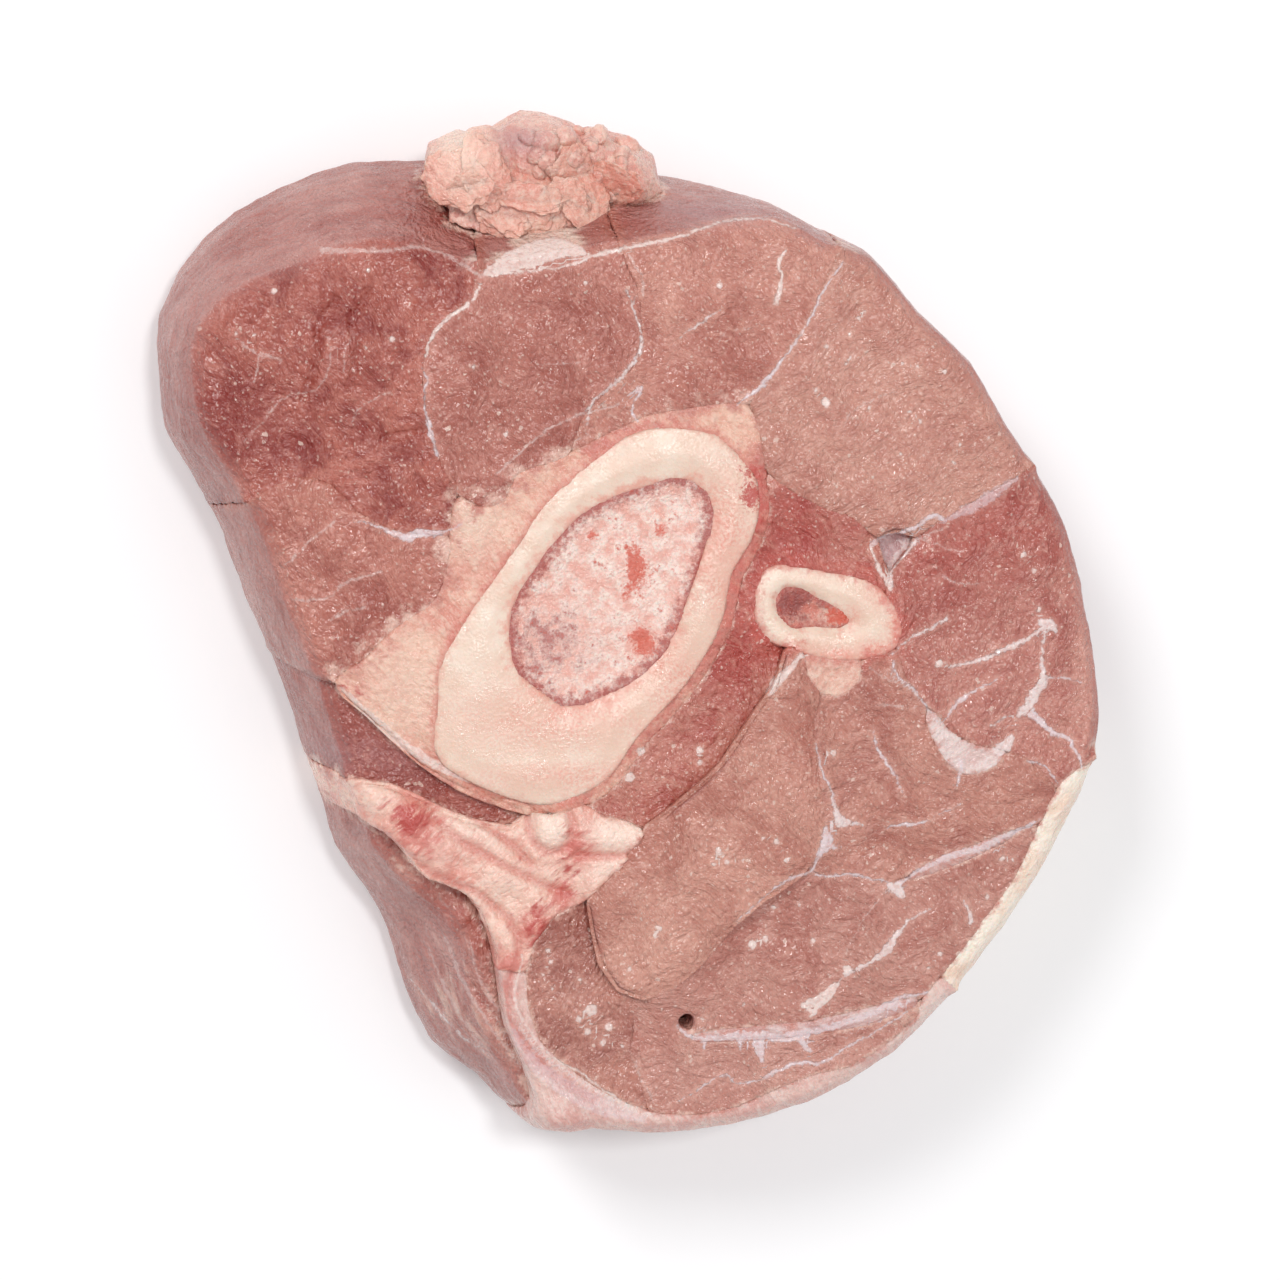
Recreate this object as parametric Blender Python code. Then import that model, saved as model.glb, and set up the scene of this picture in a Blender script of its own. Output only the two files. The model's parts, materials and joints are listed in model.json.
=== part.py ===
"""A cross-cut slice of raw beef shank with its two bones, lying flat on its cut underside.

One body of meat is lofted from its outline, then divided along the seams between the muscles.
Every muscle, bone, marrow and fat column so made runs through the whole thickness.
Plan places are in millimetres from a point in the marrow, x to the right and y away.
"""

import bpy
import bmesh
import numpy as np
from mathutils import Matrix, Vector, noise
from mathutils.bvhtree import BVHTree
from mathutils.geometry import delaunay_2d_cdt, interpolate_bezier, intersect_point_line

MM = 0.001

# Driving sizes, mm
THICKNESS = 32.0
GAP = 0.34
TO_CENTRE = Vector((0.4, 2.3, 0.0))

# Grooves along the seams where they reach the cut face: half width and depth
MEAT_GROOVE = (0.65, 1.6)
BONE_GROOVE = (0.45, 0.7)
# A groove's shoulder, as shares of its width and depth, and its flare above the cut face
SHOULDER = (0.30, 0.36)
FLARE_SHARE = 1.5
FLARE_RISE = 7.0
CUT_BELOW = 4.0

# Lengths of the straight steps along the lines, and between the points of the cut face
SEAM_STEP = 3.4
BONE_STEP = 2.4
TOP_SPACING = 5.2
RIM_CLEAR = 2.9
SIDE_PARTS = 2

# Cut face: waves, and a fall towards its far and left edges
WAVE = 0.5
WAVE_SIZE = 19.0
FALL = 0.05
FALL_FROM = 40.0
# Depth of the zone in which a muscle's own lumps fade out, and the lumps' size
LUMP_DEPTH = 6.0
LUMP_SIZE = 9.0

# Outline of the cut face and, beside each point, where the side of the meat meets the table
OUTLINE = (
    ((-62.5, 33.5), (-66.0, 33.0)),
    ((-62.0, 40.5), (-66.0, 41.5)),
    ((-55.5, 46.0), (-60.0, 52.0)),
    ((-48.5, 48.5), (-50.5, 58.3)),
    ((-38.0, 52.0), (-39.0, 62.5)),
    ((-24.5, 48.5), (-23.5, 62.5)),
    ((-9.0, 50.8), (-6.5, 62.5)),
    ((6.3, 53.3), (9.5, 60.0)),
    ((17.5, 55.0), (19.0, 57.0)),
    ((24.3, 51.5), (25.5, 53.5)),
    ((30.5, 49.5), (31.5, 50.5)),
    ((37.5, 41.5), (38.7, 42.4)),
    ((45.0, 34.5), (46.0, 35.5)),
    ((50.0, 26.0), (51.7, 26.8)),
    ((54.0, 20.5), (55.5, 21.0)),
    ((59.3, 11.3), (60.5, 11.5)),
    ((62.8, -2.5), (63.8, -2.5)),
    ((64.5, -15.0), (65.3, -15.0)),
    ((63.2, -23.0), (64.0, -23.2)),
    ((60.2, -29.8), (60.9, -30.1)),
    ((56.0, -37.6), (56.8, -38.0)),
    ((50.6, -45.6), (51.3, -46.2)),
    ((42.3, -55.5), (43.0, -56.2)),
    ((34.5, -63.3), (35.0, -64.0)),
    ((22.3, -69.7), (22.6, -70.5)),
    ((10.5, -72.7), (10.5, -73.5)),
    ((0.0, -73.3), (-0.4, -74.0)),
    ((-8.5, -72.2), (-9.2, -73.2)),
    ((-15.2, -72.3), (-16.8, -73.6)),
    ((-19.3, -65.5), (-22.0, -69.0)),
    ((-23.5, -57.5), (-28.5, -64.0)),
    ((-25.5, -48.5), (-32.0, -56.0)),
    ((-28.5, -41.8), (-34.5, -47.5)),
    ((-33.0, -38.0), (-37.5, -41.5)),
    ((-38.3, -32.0), (-42.0, -34.5)),
    ((-40.5, -25.5), (-44.0, -27.0)),
    ((-43.0, -18.8), (-46.5, -20.0)),
    ((-46.0, -8.8), (-49.5, -10.0)),
    ((-50.5, 3.0), (-54.5, 2.0)),
    ((-54.0, 14.0), (-58.0, 12.5)),
    ((-58.0, 21.5), (-62.0, 20.0)),
    ((-61.5, 27.5), (-65.5, 26.5)),
)

# Side of the meat, from the table up: height, share of the way out to the foot, bulge
SIDE = (
    (0.0, 0.90, -0.8),
    (1.6, 1.00, 0.0),
    (7.0, 1.00, 0.8),
    (14.0, 0.80, 1.2),
    (21.0, 0.48, 1.2),
    (26.5, 0.20, 0.8),
    (30.4, 0.04, 0.2),
    (THICKNESS, 0.00, -1.4),
)

# Closed lines: the columns that stand inside the meat
BONE = (
    (-6.0, 24.0), (-1.5, 26.0), (3.8, 26.5), (8.3, 25.5), (11.3, 22.8), (14.0, 19.3),
    (14.5, 16.0), (13.3, 11.0), (10.5, 6.5), (9.5, 1.0), (8.3, -2.3), (3.8, -9.3),
    (-2.8, -16.3), (-6.3, -21.3), (-9.5, -23.5), (-15.5, -25.3), (-22.8, -23.3),
    (-29.5, -19.5), (-30.8, -17.0), (-30.5, -12.3), (-30.0, -6.0), (-26.8, -0.3),
    (-22.5, 5.8), (-15.5, 15.8), (-11.3, 19.8),
)
MARROW = (
    (2.5, 19.8), (5.0, 19.7), (7.5, 17.8), (8.3, 14.8), (7.3, 9.8), (3.8, 0.0),
    (1.5, -4.5), (-2.0, -8.0), (-9.8, -11.8), (-13.0, -12.0), (-16.0, -10.0),
    (-19.3, -7.0), (-20.5, -2.8), (-20.5, 0.8), (-19.0, 4.5), (-12.3, 13.3),
    (-8.5, 16.0), (-4.0, 18.0),
)
SHEATH = (
    (4.3, 29.3), (10.0, 30.0), (13.4, 29.6), (14.6, 25.5), (15.6, 20.5), (16.1, 16.0),
    (15.0, 10.5), (12.2, 5.6), (11.1, 0.5), (9.8, -3.2), (5.2, -10.5), (-1.4, -17.5),
    (-4.9, -22.5), (-8.6, -25.2), (-15.5, -27.0), (-23.3, -25.0), (-29.5, -21.8),
    (-34.5, -18.0), (-40.0, -12.5), (-44.3, -7.8), (-41.0, -5.3), (-36.0, -0.5),
    (-30.5, 3.5), (-28.5, 10.0), (-27.3, 17.6), (-24.5, 16.0), (-20.8, 16.8),
    (-19.3, 20.3), (-13.8, 22.2), (-6.3, 26.0), (-1.3, 28.2),
)
SMALL_BONE = (
    (14.3, 3.3), (14.3, 0.0), (16.0, -2.8), (19.8, -4.5), (25.5, -6.0), (30.3, -5.8),
    (34.3, -4.5), (35.2, -1.8), (33.5, 1.8), (30.3, 4.8), (25.5, 6.0), (17.5, 7.2),
    (15.8, 6.5),
)
SMALL_MARROW = (
    (17.0, 3.0), (18.4, 4.3), (21.0, 4.0), (23.8, 2.4), (26.8, 0.6), (28.2, -1.0),
    (26.0, -1.8), (22.5, -1.4), (19.6, -1.7), (17.3, 0.4),
)
RIGHT_FAT = (
    (38.7, -12.8), (42.0, -16.3), (46.5, -18.9), (51.0, -19.8), (49.2, -21.9),
    (44.5, -23.0), (41.0, -19.8),
)
JUNCTION = ((31.5, 11.3), (34.5, 12.0), (37.3, 11.2), (35.6, 8.0), (33.6, 5.4), (32.2, 8.0))
# Sheets of fascia that stand in a wide seam: middle line and half width
MIDDLE_SHEET = ((36.5, -37.5, 0.5), (41.0, -35.8, 1.0), (47.0, -33.6, 0.9), (52.0, -31.4, 0.5))
LOWER_SHEET = (
    (5.6, -59.5, 0.6), (14.0, -59.4, 1.0), (23.5, -58.7, 1.1), (31.5, -57.3, 1.2), (37.8, -55.5, 0.7),
)

# Seams between the muscles, the closed line each end stops on, or None past the meat
SEAMS = {
    "fat_inner": (
        "sheath", None,
        ((-10.2, -25.8), (-7.5, -27.6), (-4.0, -28.4), (-1.6, -29.6), (-3.4, -32.5), (-5.8, -35.8),
         (-9.8, -39.2), (-14.3, -41.3), (-17.3, -45.0), (-18.3, -49.5), (-18.0, -54.0),
         (-16.0, -59.5), (-11.5, -64.0), (-6.0, -67.6), (-1.5, -69.9), (7.0, -70.8), (11.8, -69.9),
         (18.5, -67.1), (23.3, -65.6), (28.0, -64.7), (34.5, -61.0), (38.0, -57.8), (39.5, -54.2),
         (43.0, -50.0), (48.0, -43.8), (52.3, -38.2), (55.0, -32.0), (57.0, -27.6), (59.3, -24.0),
         (68.0, -19.0)),
    ),
    "fat_outer": (
        None, None,
        ((-54.0, -28.0), (-41.0, -27.2), (-35.6, -31.5), (-32.4, -35.5), (-26.4, -38.4),
         (-23.6, -43.0), (-22.2, -49.0), (-20.9, -57.5), (-18.2, -63.6), (-16.9, -68.0),
         (-18.2, -73.0), (-21.0, -80.0)),
    ),
    "under_bone_low": (
        None, "sheath",
        ((-54.0, -20.5), (-42.0, -21.6), (-37.0, -22.4), (-31.8, -25.0), (-26.0, -27.6),
         (-20.3, -28.6), (-17.0, -27.0)),
    ),
    "under_bone_high": (None, "sheath", ((-62.0, -3.5), (-50.0, -6.5), (-44.3, -7.8))),
    "fat_foot": ("fat_outer", "fat_inner", ((-22.3, -48.7), (-18.3, -49.3))),
    "rim_end": ("fat_inner", None, ((41.3, -52.0), (45.0, -55.5), (54.0, -64.0))),
    "strip": (
        "fat_inner", "small_bone",
        ((-1.7, -29.2), (1.5, -27.0), (5.0, -24.2), (9.3, -20.5), (11.2, -17.6), (14.5, -12.6),
         (16.8, -9.6), (18.6, -4.0)),
    ),
    "lobe": (
        "small_bone", "small_bone",
        ((20.6, -4.8), (21.2, -8.3), (23.2, -10.9), (26.6, -11.4), (29.0, -9.4), (29.6, -6.0)),
    ),
    "tongue": (
        "lobe", "fat_inner",
        ((23.2, -10.9), (22.3, -14.0), (23.0, -22.5), (24.0, -28.8), (23.0, -33.5), (20.6, -36.6),
         (14.8, -40.2), (11.0, -43.4), (6.8, -48.3), (2.5, -51.8), (-1.5, -53.5), (-5.3, -52.0),
         (-8.0, -48.0), (-8.9, -43.6), (-9.6, -39.0)),
    ),
    "lower_right_a": (
        "tongue", "middle_sheet",
        ((21.6, -35.8), (24.0, -36.7), (28.5, -36.9), (33.0, -38.2), (36.5, -37.5)),
    ),
    "lower_right_b": ("middle_sheet", "fat_inner", ((52.0, -31.4), (54.3, -30.4), (55.9, -30.0))),
    "lower_sheet_end": ("lower_sheet", "fat_inner", ((37.8, -55.5), (38.7, -55.3), (39.6, -54.6))),
    "lower_left": (
        "tongue", "fat_inner",
        ((-3.3, -53.1), (-3.0, -58.0), (-3.3, -62.0), (-1.8, -66.0), (-0.6, -70.2)),
    ),
    "right_a": ("small_bone", "right_fat", ((34.4, -4.4), (35.8, -9.0), (38.7, -12.8))),
    "right_b": ("right_fat", "fat_inner", ((51.0, -19.8), (53.6, -20.9), (56.2, -23.0), (58.1, -25.7))),
    "upper_right_low": (
        None, "junction",
        ((62.0, 25.5), (54.0, 20.7), (44.5, 15.6), (40.5, 13.3), (37.3, 11.2)),
    ),
    "red_top": (
        "sheath", "junction",
        ((15.6, 21.0), (17.6, 19.0), (23.8, 15.6), (28.0, 14.0), (31.5, 11.3)),
    ),
    "red_side": ("junction", "small_bone", ((33.6, 5.4), (32.9, 2.6))),
    "left_top": (
        None, "sheath",
        ((-68.0, 12.5), (-55.0, 17.5), (-49.5, 20.3), (-44.5, 19.2), (-41.2, 15.6), (-37.5, 13.4),
         (-33.0, 12.4), (-28.3, 12.0)),
    ),
    "upper_a": (
        None, "sheath",
        ((-22.5, 74.0), (-24.3, 50.0), (-25.2, 44.6), (-29.0, 41.3), (-31.8, 36.5), (-31.8, 28.5),
         (-30.3, 23.8), (-27.3, 17.6)),
    ),
    "upper_b": (
        None, "sheath",
        ((-6.5, 74.0), (-4.8, 51.0), (-2.6, 46.0), (-1.8, 39.5), (-3.3, 35.0), (-7.3, 31.5),
         (-10.2, 28.0), (-12.0, 22.8)),
    ),
    "upper_right": (
        None, "sheath",
        ((33.0, 68.0), (25.7, 50.5), (23.8, 46.3), (21.2, 41.0), (16.6, 34.4), (13.4, 29.6)),
    ),
}
CRISP_SEAMS = ("fat_inner", "rim_end", "red_side", "lower_sheet_end", "lower_right_b")

# Hole at the blind end of the lower sheet
PIT_AT = (4.6, -57.2)
PIT_RADIUS = 1.3
PIT_DEPTH = 10.0

# Colours: red, green, blue and roughness
MEAT = (0.50, 0.19, 0.15, 0.42)
DARK_MEAT = (0.42, 0.11, 0.09, 0.40)
PALE_MEAT = (0.58, 0.28, 0.20, 0.42)
BONE_CREAM = (0.84, 0.71, 0.58, 0.38)
MARROW_PINK = (0.78, 0.56, 0.52, 0.50)
FAT = (0.82, 0.58, 0.50, 0.48)
YELLOW_FAT = (0.84, 0.70, 0.52, 0.45)
FASCIA = (0.78, 0.63, 0.64, 0.35)

# Piece: a point in it, how far its cut face stands above the rest, its unevenness, its colour
PIECES = {
    "shin_bone": ((-26.0, -12.0), 0.9, 0.10, BONE_CREAM),
    "shin_marrow": ((-5.0, 2.0), -0.5, 0.45, MARROW_PINK),
    "bone_sheath": ((-38.0, -8.0), 0.1, 0.40, FAT),
    "small_bone": ((32.0, -1.5), 0.8, 0.10, BONE_CREAM),
    "small_marrow": ((20.0, 1.5), -1.0, 0.40, DARK_MEAT),
    "muscle_upper_left": ((-42.0, 36.0), -0.6, 0.70, MEAT),
    "muscle_upper_middle": ((-17.5, 35.0), 0.2, 0.60, MEAT),
    "muscle_upper_inner": ((7.5, 40.0), 0.0, 0.60, MEAT),
    "muscle_upper_right": ((32.5, 27.5), 0.7, 0.60, PALE_MEAT),
    "muscle_right": ((50.0, 0.0), 0.0, 0.60, DARK_MEAT),
    "muscle_lower_right": ((33.8, -25.0), 0.4, 0.50, MEAT),
    "muscle_tongue": ((7.5, -37.5), 1.9, 0.50, PALE_MEAT),
    "muscle_between_bones": ((3.0, -18.5), -0.5, 0.60, DARK_MEAT),
    "muscle_lower": ((22.5, -47.5), 0.1, 0.60, MEAT),
    "muscle_lower_left": ((-11.5, -52.5), -0.6, 0.60, MEAT),
    "muscle_left": ((-40.0, 5.0), 0.0, 0.70, MEAT),
    "muscle_under_bone": ((-37.3, -18.6), -2.8, 0.50, DARK_MEAT),
    "side_flap": ((-24.6, -50.5), -5.5, 0.80, MEAT),
    "seam_fat": ((-27.0, -33.0), 0.3, 1.10, FAT),
    "rim_fascia": ((-19.6, -55.5), 0.3, 0.40, FASCIA),
    "rim_fat": ((54.5, -35.8), -0.3, 0.50, YELLOW_FAT),
    "fat_lobe": ((25.5, -8.5), 0.5, 0.30, FAT),
    "right_fat": ((44.5, -20.5), 0.1, 0.30, FASCIA),
    "junction_fascia": ((34.3, 9.3), -2.2, 0.10, FASCIA),
    "middle_sheet": ((44.0, -34.7), 0.0, 0.20, FASCIA),
    "lower_sheet": ((25.0, -58.5), 0.0, 0.20, FASCIA),
}

# Crumbly fat on the far side: centre, half sizes, turn about z in degrees and fineness of each lump
KNOB_LUMPS = (
    ((-24.0, 61.5, 17.5), (6.5, 6.0, 10.5), 14.0, 2),
    ((-14.0, 63.5, 16.0), (9.0, 6.5, 10.0), -4.0, 3),
    ((-3.5, 62.0, 15.5), (7.5, 5.0, 8.5), -22.0, 2),
    ((-17.5, 57.0, 23.0), (10.5, 4.2, 3.4), 4.0, 2),
)
KNOB_ROUGH = 1.3
KNOB_ROUGH_SIZE = 3.8
# Crumbs on top of it: how many, how large, their form, and the line that they lie about
CRUMBS = 9
CRUMB_RADIUS = (2.8, 4.4)
CRUMB_FLATNESS = 0.8
CRUMB_TURN = 40.0
CRUMB_ROUNDS = 2
CRUMB_LINE = ((-25.0, 63.0, 22.0), (-14.0, 67.0, 22.5), (1.0, 61.0, 19.5))
CRUMB_SPREAD = 2.2


def clear_scene():
    for thing in list(bpy.data.objects):
        bpy.data.objects.remove(thing, do_unlink=True)
    for group in list(bpy.data.collections):
        bpy.data.collections.remove(group)


def new_collection(name):
    group = bpy.data.collections.new(name)
    bpy.context.scene.collection.children.link(group)
    return group


def new_object(name, mesh, group):
    thing = bpy.data.objects.new(name, mesh)
    group.objects.link(thing)
    return thing


def finish(name, colour):
    """Matt to moist finish of one piece."""
    material = bpy.data.materials.new(name)
    material.use_nodes = True
    shader = material.node_tree.nodes["Principled BSDF"]
    shader.inputs["Base Color"].default_value = (*colour[:3], 1.0)
    shader.inputs["Roughness"].default_value = colour[3]
    shader.inputs["Metallic"].default_value = 0.0
    material.diffuse_color = (*colour[:3], 1.0)
    return material


def curve_through(points, closed, step=None, parts=None):
    """Points on a smooth line through the given ones, about a step apart or a fixed number to a span."""
    given = [Vector((*p[:2], 0.0)) for p in points]
    count = len(given)
    spans = count if closed else count - 1

    def handle(i):
        before = given[(i - 1) % count] if closed else given[max(i - 1, 0)]
        after = given[(i + 1) % count] if closed else given[min(i + 1, count - 1)]
        return (after - before).normalized()

    line = []
    for i in range(spans):
        here, there = given[i], given[(i + 1) % count]
        reach = (there - here).length
        pieces = parts or max(1, round(reach / step))
        arc = interpolate_bezier(
            here,
            here + handle(i) * reach / 3,
            there - handle((i + 1) % count) * reach / 3,
            there,
            pieces + 1,
        )
        line += arc[:-1]
    if not closed:
        line.append(given[-1])
    return [Vector((*p[:2], 0.0)) for p in line]


def outward(line):
    """Unit normals of a closed line, pointing away from what it encloses."""
    area = sum(a.x * b.y - b.x * a.y for a, b in zip(line, line[1:] + line[:1]))
    turn = 1.0 if area > 0 else -1.0
    normals = []
    for before, after in zip(line[-1:] + line[:-1], line[1:] + line[:1]):
        along = (after - before).normalized()
        normals.append(Vector((along.y, -along.x, 0.0)) * turn)
    return normals


def ribbon(middle):
    """Closed line round a sheet that is given by its middle line and half widths."""
    normals = []
    for i in range(len(middle)):
        here = Vector(middle[max(i - 1, 0)][:2])
        there = Vector(middle[min(i + 1, len(middle) - 1)][:2])
        along = (there - here).normalized()
        normals.append(Vector((-along.y, along.x)))
    left = [Vector(m[:2]) + n * m[2] for m, n in zip(middle, normals)]
    right = [Vector(m[:2]) - n * m[2] for m, n in zip(middle, normals)]
    first = Vector(middle[0][:2]) - Vector((normals[0].y, -normals[0].x)) * middle[0][2]
    last = Vector(middle[-1][:2]) + Vector((normals[-1].y, -normals[-1].x)) * middle[-1][2]
    return [first, *left, last, *reversed(right)]


def snapped(point, line):
    """The nearest place to a point on a line of points."""
    best = None
    for a, b in zip(line, line[1:]):
        spot, share = intersect_point_line(point, a, b)
        spot = a if share < 0 else b if share > 1 else spot
        if best is None or (spot - point).length < (best - point).length:
            best = spot
    return best


def plan_lines():
    """Every line that the meat is divided along: name, points, whether closed, groove width and depth."""
    closed = {
        "bone": (BONE, BONE_STEP),
        "marrow": (MARROW, BONE_STEP),
        "sheath": (SHEATH, BONE_STEP),
        "small_bone": (SMALL_BONE, BONE_STEP),
        "small_marrow": (SMALL_MARROW, BONE_STEP),
        "right_fat": (RIGHT_FAT, BONE_STEP),
        "junction": (JUNCTION, BONE_STEP),
        "middle_sheet": (ribbon(MIDDLE_SHEET), SEAM_STEP),
        "lower_sheet": (ribbon(LOWER_SHEET), SEAM_STEP),
    }
    lines = {}
    for name, (points, step) in closed.items():
        lines[name] = (curve_through(points, True, step=step), True, BONE_GROOVE)
    for name, (start, end, points) in SEAMS.items():
        line = curve_through(points, False, step=SEAM_STEP)
        for at, target in ((0, start), (-1, end)):
            if target:
                other = lines[target][0] + lines[target][0][:1] * lines[target][1]
                line[at] = snapped(line[at], other)
        lines[name] = (line, False, BONE_GROOVE if name in CRISP_SEAMS else MEAT_GROOVE)
    return lines


def mesh_from(build):
    """A mesh filled by a function that is given an empty bmesh."""
    shape = bmesh.new()
    build(shape)
    bmesh.ops.recalc_face_normals(shape, faces=shape.faces)
    mesh = bpy.data.meshes.new("mesh")
    shape.to_mesh(mesh)
    shape.free()
    return mesh


def top_height(x, y):
    """Height of the cut face before the muscles settle against each other."""
    wave = WAVE * noise.noise(Vector((x / WAVE_SIZE, y / WAVE_SIZE, 3.1)))
    fall = FALL * (max(0.0, -FALL_FROM - x) + max(0.0, y - FALL_FROM))
    return THICKNESS + wave - fall


def side_ring(grow, height, share, bulge):
    """One level ring of the meat's side."""
    top = curve_through([row[0] for row in OUTLINE], True, parts=SIDE_PARTS)
    foot = curve_through([row[1] for row in OUTLINE], True, parts=SIDE_PARTS)
    ring = []
    for a, b, n in zip(top, foot, outward(top)):
        spot = a.lerp(b, share) + n * (bulge + grow)
        ring.append(Vector((spot.x, spot.y, height)))
    return ring


def at_x(point):
    return point.x


def at_y(point):
    return point.y


def inside(point, ring):
    """Whether a plan point lies in a closed ring."""
    crossings = 0
    for a, b in zip(ring, ring[1:] + ring[:1]):
        if (a.y > point[1]) != (b.y > point[1]):
            crossings += point[0] < a.x + (point[1] - a.y) * (b.x - a.x) / (b.y - a.y)
    return crossings % 2 == 1


def meat_mesh(grow=0.0):
    """The whole slice before it is divided: a lofted side, a flat underside and an uneven cut face."""

    def build(shape):
        rings = [side_ring(grow, *row) for row in SIDE]
        rim = rings[-1]
        for spot in rim:
            spot.z = top_height(spot.x, spot.y) + grow
        for spot, edge in zip(rings[-2], rim):
            spot.z += edge.z - THICKNESS
        rows = [[shape.verts.new(spot) for spot in ring] for ring in rings]
        for low, high in zip(rows, rows[1:]):
            for i in range(len(low)):
                j = (i + 1) % len(low)
                shape.faces.new((low[i], low[j], high[j], high[i]))
        shape.faces.new(rows[0])
        margin = side_ring(-RIM_CLEAR, *SIDE[-1])
        flat = [spot.xy for spot in rim]
        filling = []
        row_height = TOP_SPACING * 3**0.5 / 2
        for row, y in enumerate(np.arange(min(flat, key=at_y).y, max(flat, key=at_y).y, row_height)):
            for x in np.arange(min(flat, key=at_x).x, max(flat, key=at_x).x, TOP_SPACING):
                spot = (float(x + (row % 2) * TOP_SPACING / 2), float(y))
                if inside(spot, margin):
                    filling.append(Vector(spot))
        border = [(i, (i + 1) % len(flat)) for i in range(len(flat))]
        spots, _, faces, _, _, _ = delaunay_2d_cdt(flat + filling, border, [], 1, 1e-4)
        corners = list(rows[-1])
        for spot in spots[len(flat):]:
            corners.append(shape.verts.new((spot.x, spot.y, top_height(*spot) + grow)))
        for face in faces:
            shape.faces.new([corners[i] for i in face])

    return mesh_from(build)


def groove_profile(width, depth, group):
    """Cross-section of a cut: a thin wall that opens into a groove at the cut face."""
    half = GAP / 2
    right = [
        (half, -CUT_BELOW),
        (half, THICKNESS - depth),
        (half + width * SHOULDER[0], THICKNESS - depth * SHOULDER[1]),
        (width, THICKNESS + WAVE / 2),
        (width * FLARE_SHARE, THICKNESS + FLARE_RISE),
    ]
    outline = right + [(-x, z) for x, z in reversed(right)]
    profile = bpy.data.curves.new("groove", "CURVE")
    profile.dimensions = "2D"
    spline = profile.splines.new("POLY")
    spline.points.add(len(outline) - 1)
    for point, (x, z) in zip(spline.points, outline):
        point.co = (x, z, 0.0, 1.0)
    spline.use_cyclic_u = True
    thing = new_object("groove", profile, group)
    thing.hide_render = True
    return thing


def cut_wall(name, line, closed, profile, group):
    """The profile swept along a plan line, as a closed mesh."""
    path = bpy.data.curves.new(name, "CURVE")
    path.dimensions = "2D"
    path.bevel_mode = "OBJECT"
    path.bevel_object = profile
    path.use_fill_caps = True
    spline = path.splines.new("POLY")
    spline.points.add(len(line) - 1)
    for point, spot in zip(spline.points, line):
        point.co = (spot.x, spot.y, 0.0, 1.0)
    spline.use_cyclic_u = closed
    sweep = new_object(name, path, group)
    bpy.context.view_layer.update()
    graph = bpy.context.evaluated_depsgraph_get()
    mesh = bpy.data.meshes.new_from_object(sweep.evaluated_get(graph))
    shape = bmesh.new()
    shape.from_mesh(mesh)
    bmesh.ops.remove_doubles(shape, verts=shape.verts, dist=1e-4)
    bmesh.ops.recalc_face_normals(shape, faces=shape.faces)
    shape.to_mesh(mesh)
    shape.free()
    wall = new_object("cut_" + name, mesh, group)
    bpy.data.objects.remove(sweep, do_unlink=True)
    wall.hide_render = True
    wall.display_type = "WIRE"
    return wall


def pit_cutter(group):
    """A narrow hole that closes at its depth."""

    def build(shape):
        middle = Matrix.Translation((*PIT_AT, THICKNESS - PIT_DEPTH / 2))
        bmesh.ops.create_cone(
            shape, cap_ends=True, segments=10, radius1=PIT_RADIUS / 2,
            radius2=PIT_RADIUS, depth=PIT_DEPTH, matrix=middle,
        )

    pit = new_object("cut_pit", mesh_from(build), group)
    pit.hide_render = True
    pit.display_type = "WIRE"
    return pit


def apply_boolean(thing, other, operation):
    """Applies a Boolean of one object or one collection to a mesh object."""
    modifier = thing.modifiers.new("boolean", "BOOLEAN")
    modifier.operation = operation
    modifier.solver = "EXACT"
    if isinstance(other, bpy.types.Collection):
        modifier.operand_type = "COLLECTION"
        modifier.collection = other
    else:
        modifier.object = other
    graph = bpy.context.evaluated_depsgraph_get()
    mesh = bpy.data.meshes.new_from_object(thing.evaluated_get(graph))
    thing.modifiers.clear()
    thing.data = mesh


def loose_parts(mesh):
    """The separate bodies of a mesh, each as its own bmesh of triangles."""
    whole = bmesh.new()
    whole.from_mesh(mesh)
    bmesh.ops.triangulate(whole, faces=whole.faces)
    left = set(whole.verts)
    parts = []
    while left:
        body = {left.pop()}
        edge = list(body)
        while edge:
            vert = edge.pop()
            for link in vert.link_edges:
                other = link.other_vert(vert)
                if other not in body:
                    body.add(other)
                    edge.append(other)
        left -= body
        part = bmesh.new()
        copies = {vert: part.verts.new(vert.co) for vert in body}
        faces = {face for vert in body for face in vert.link_faces}
        for face in sorted(faces, key=lambda f: f.index):
            part.faces.new([copies[vert] for vert in face.verts])
        part.verts.index_update()
        parts.append(part)
    whole.free()
    return parts


def smooth_share(value):
    """Rises from 0 to 1 with soft ends."""
    value = max(0.0, min(1.0, value))
    return value**2 * (3 - 2 * value)


def settle(part, lift, unevenness, seed):
    """Lifts the cut face of a piece and makes it uneven, with the underside kept flat."""
    for vert in part.verts:
        near_top = smooth_share((vert.co.z - THICKNESS + LUMP_DEPTH) / LUMP_DEPTH)
        lump = noise.noise(Vector((vert.co.x / LUMP_SIZE, vert.co.y / LUMP_SIZE, seed * 7.7)))
        vert.co.z += lift * smooth_share(vert.co.z / THICKNESS) + unevenness * lump * near_top


def place_pieces(parts, group):
    """Gives each body the name of the piece whose point lies in it."""
    trees = [BVHTree.FromBMesh(part) for part in parts]
    down = Vector((0.0, 0.0, -1.0))
    for seed, (name, (spot, lift, unevenness, colour)) in enumerate(PIECES.items()):
        above = Vector((*spot, THICKNESS * 2))
        found = [p for p, tree in zip(parts, trees) if tree.ray_cast(above, down)[0] is not None]
        assert len(found) == 1, (name, len(found))
        part = found[0]
        settle(part, lift, unevenness, seed)
        mesh = bpy.data.meshes.new(name)
        part.to_mesh(mesh)
        mesh.materials.append(finish(name, colour))
        new_object(name, mesh, group)


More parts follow.
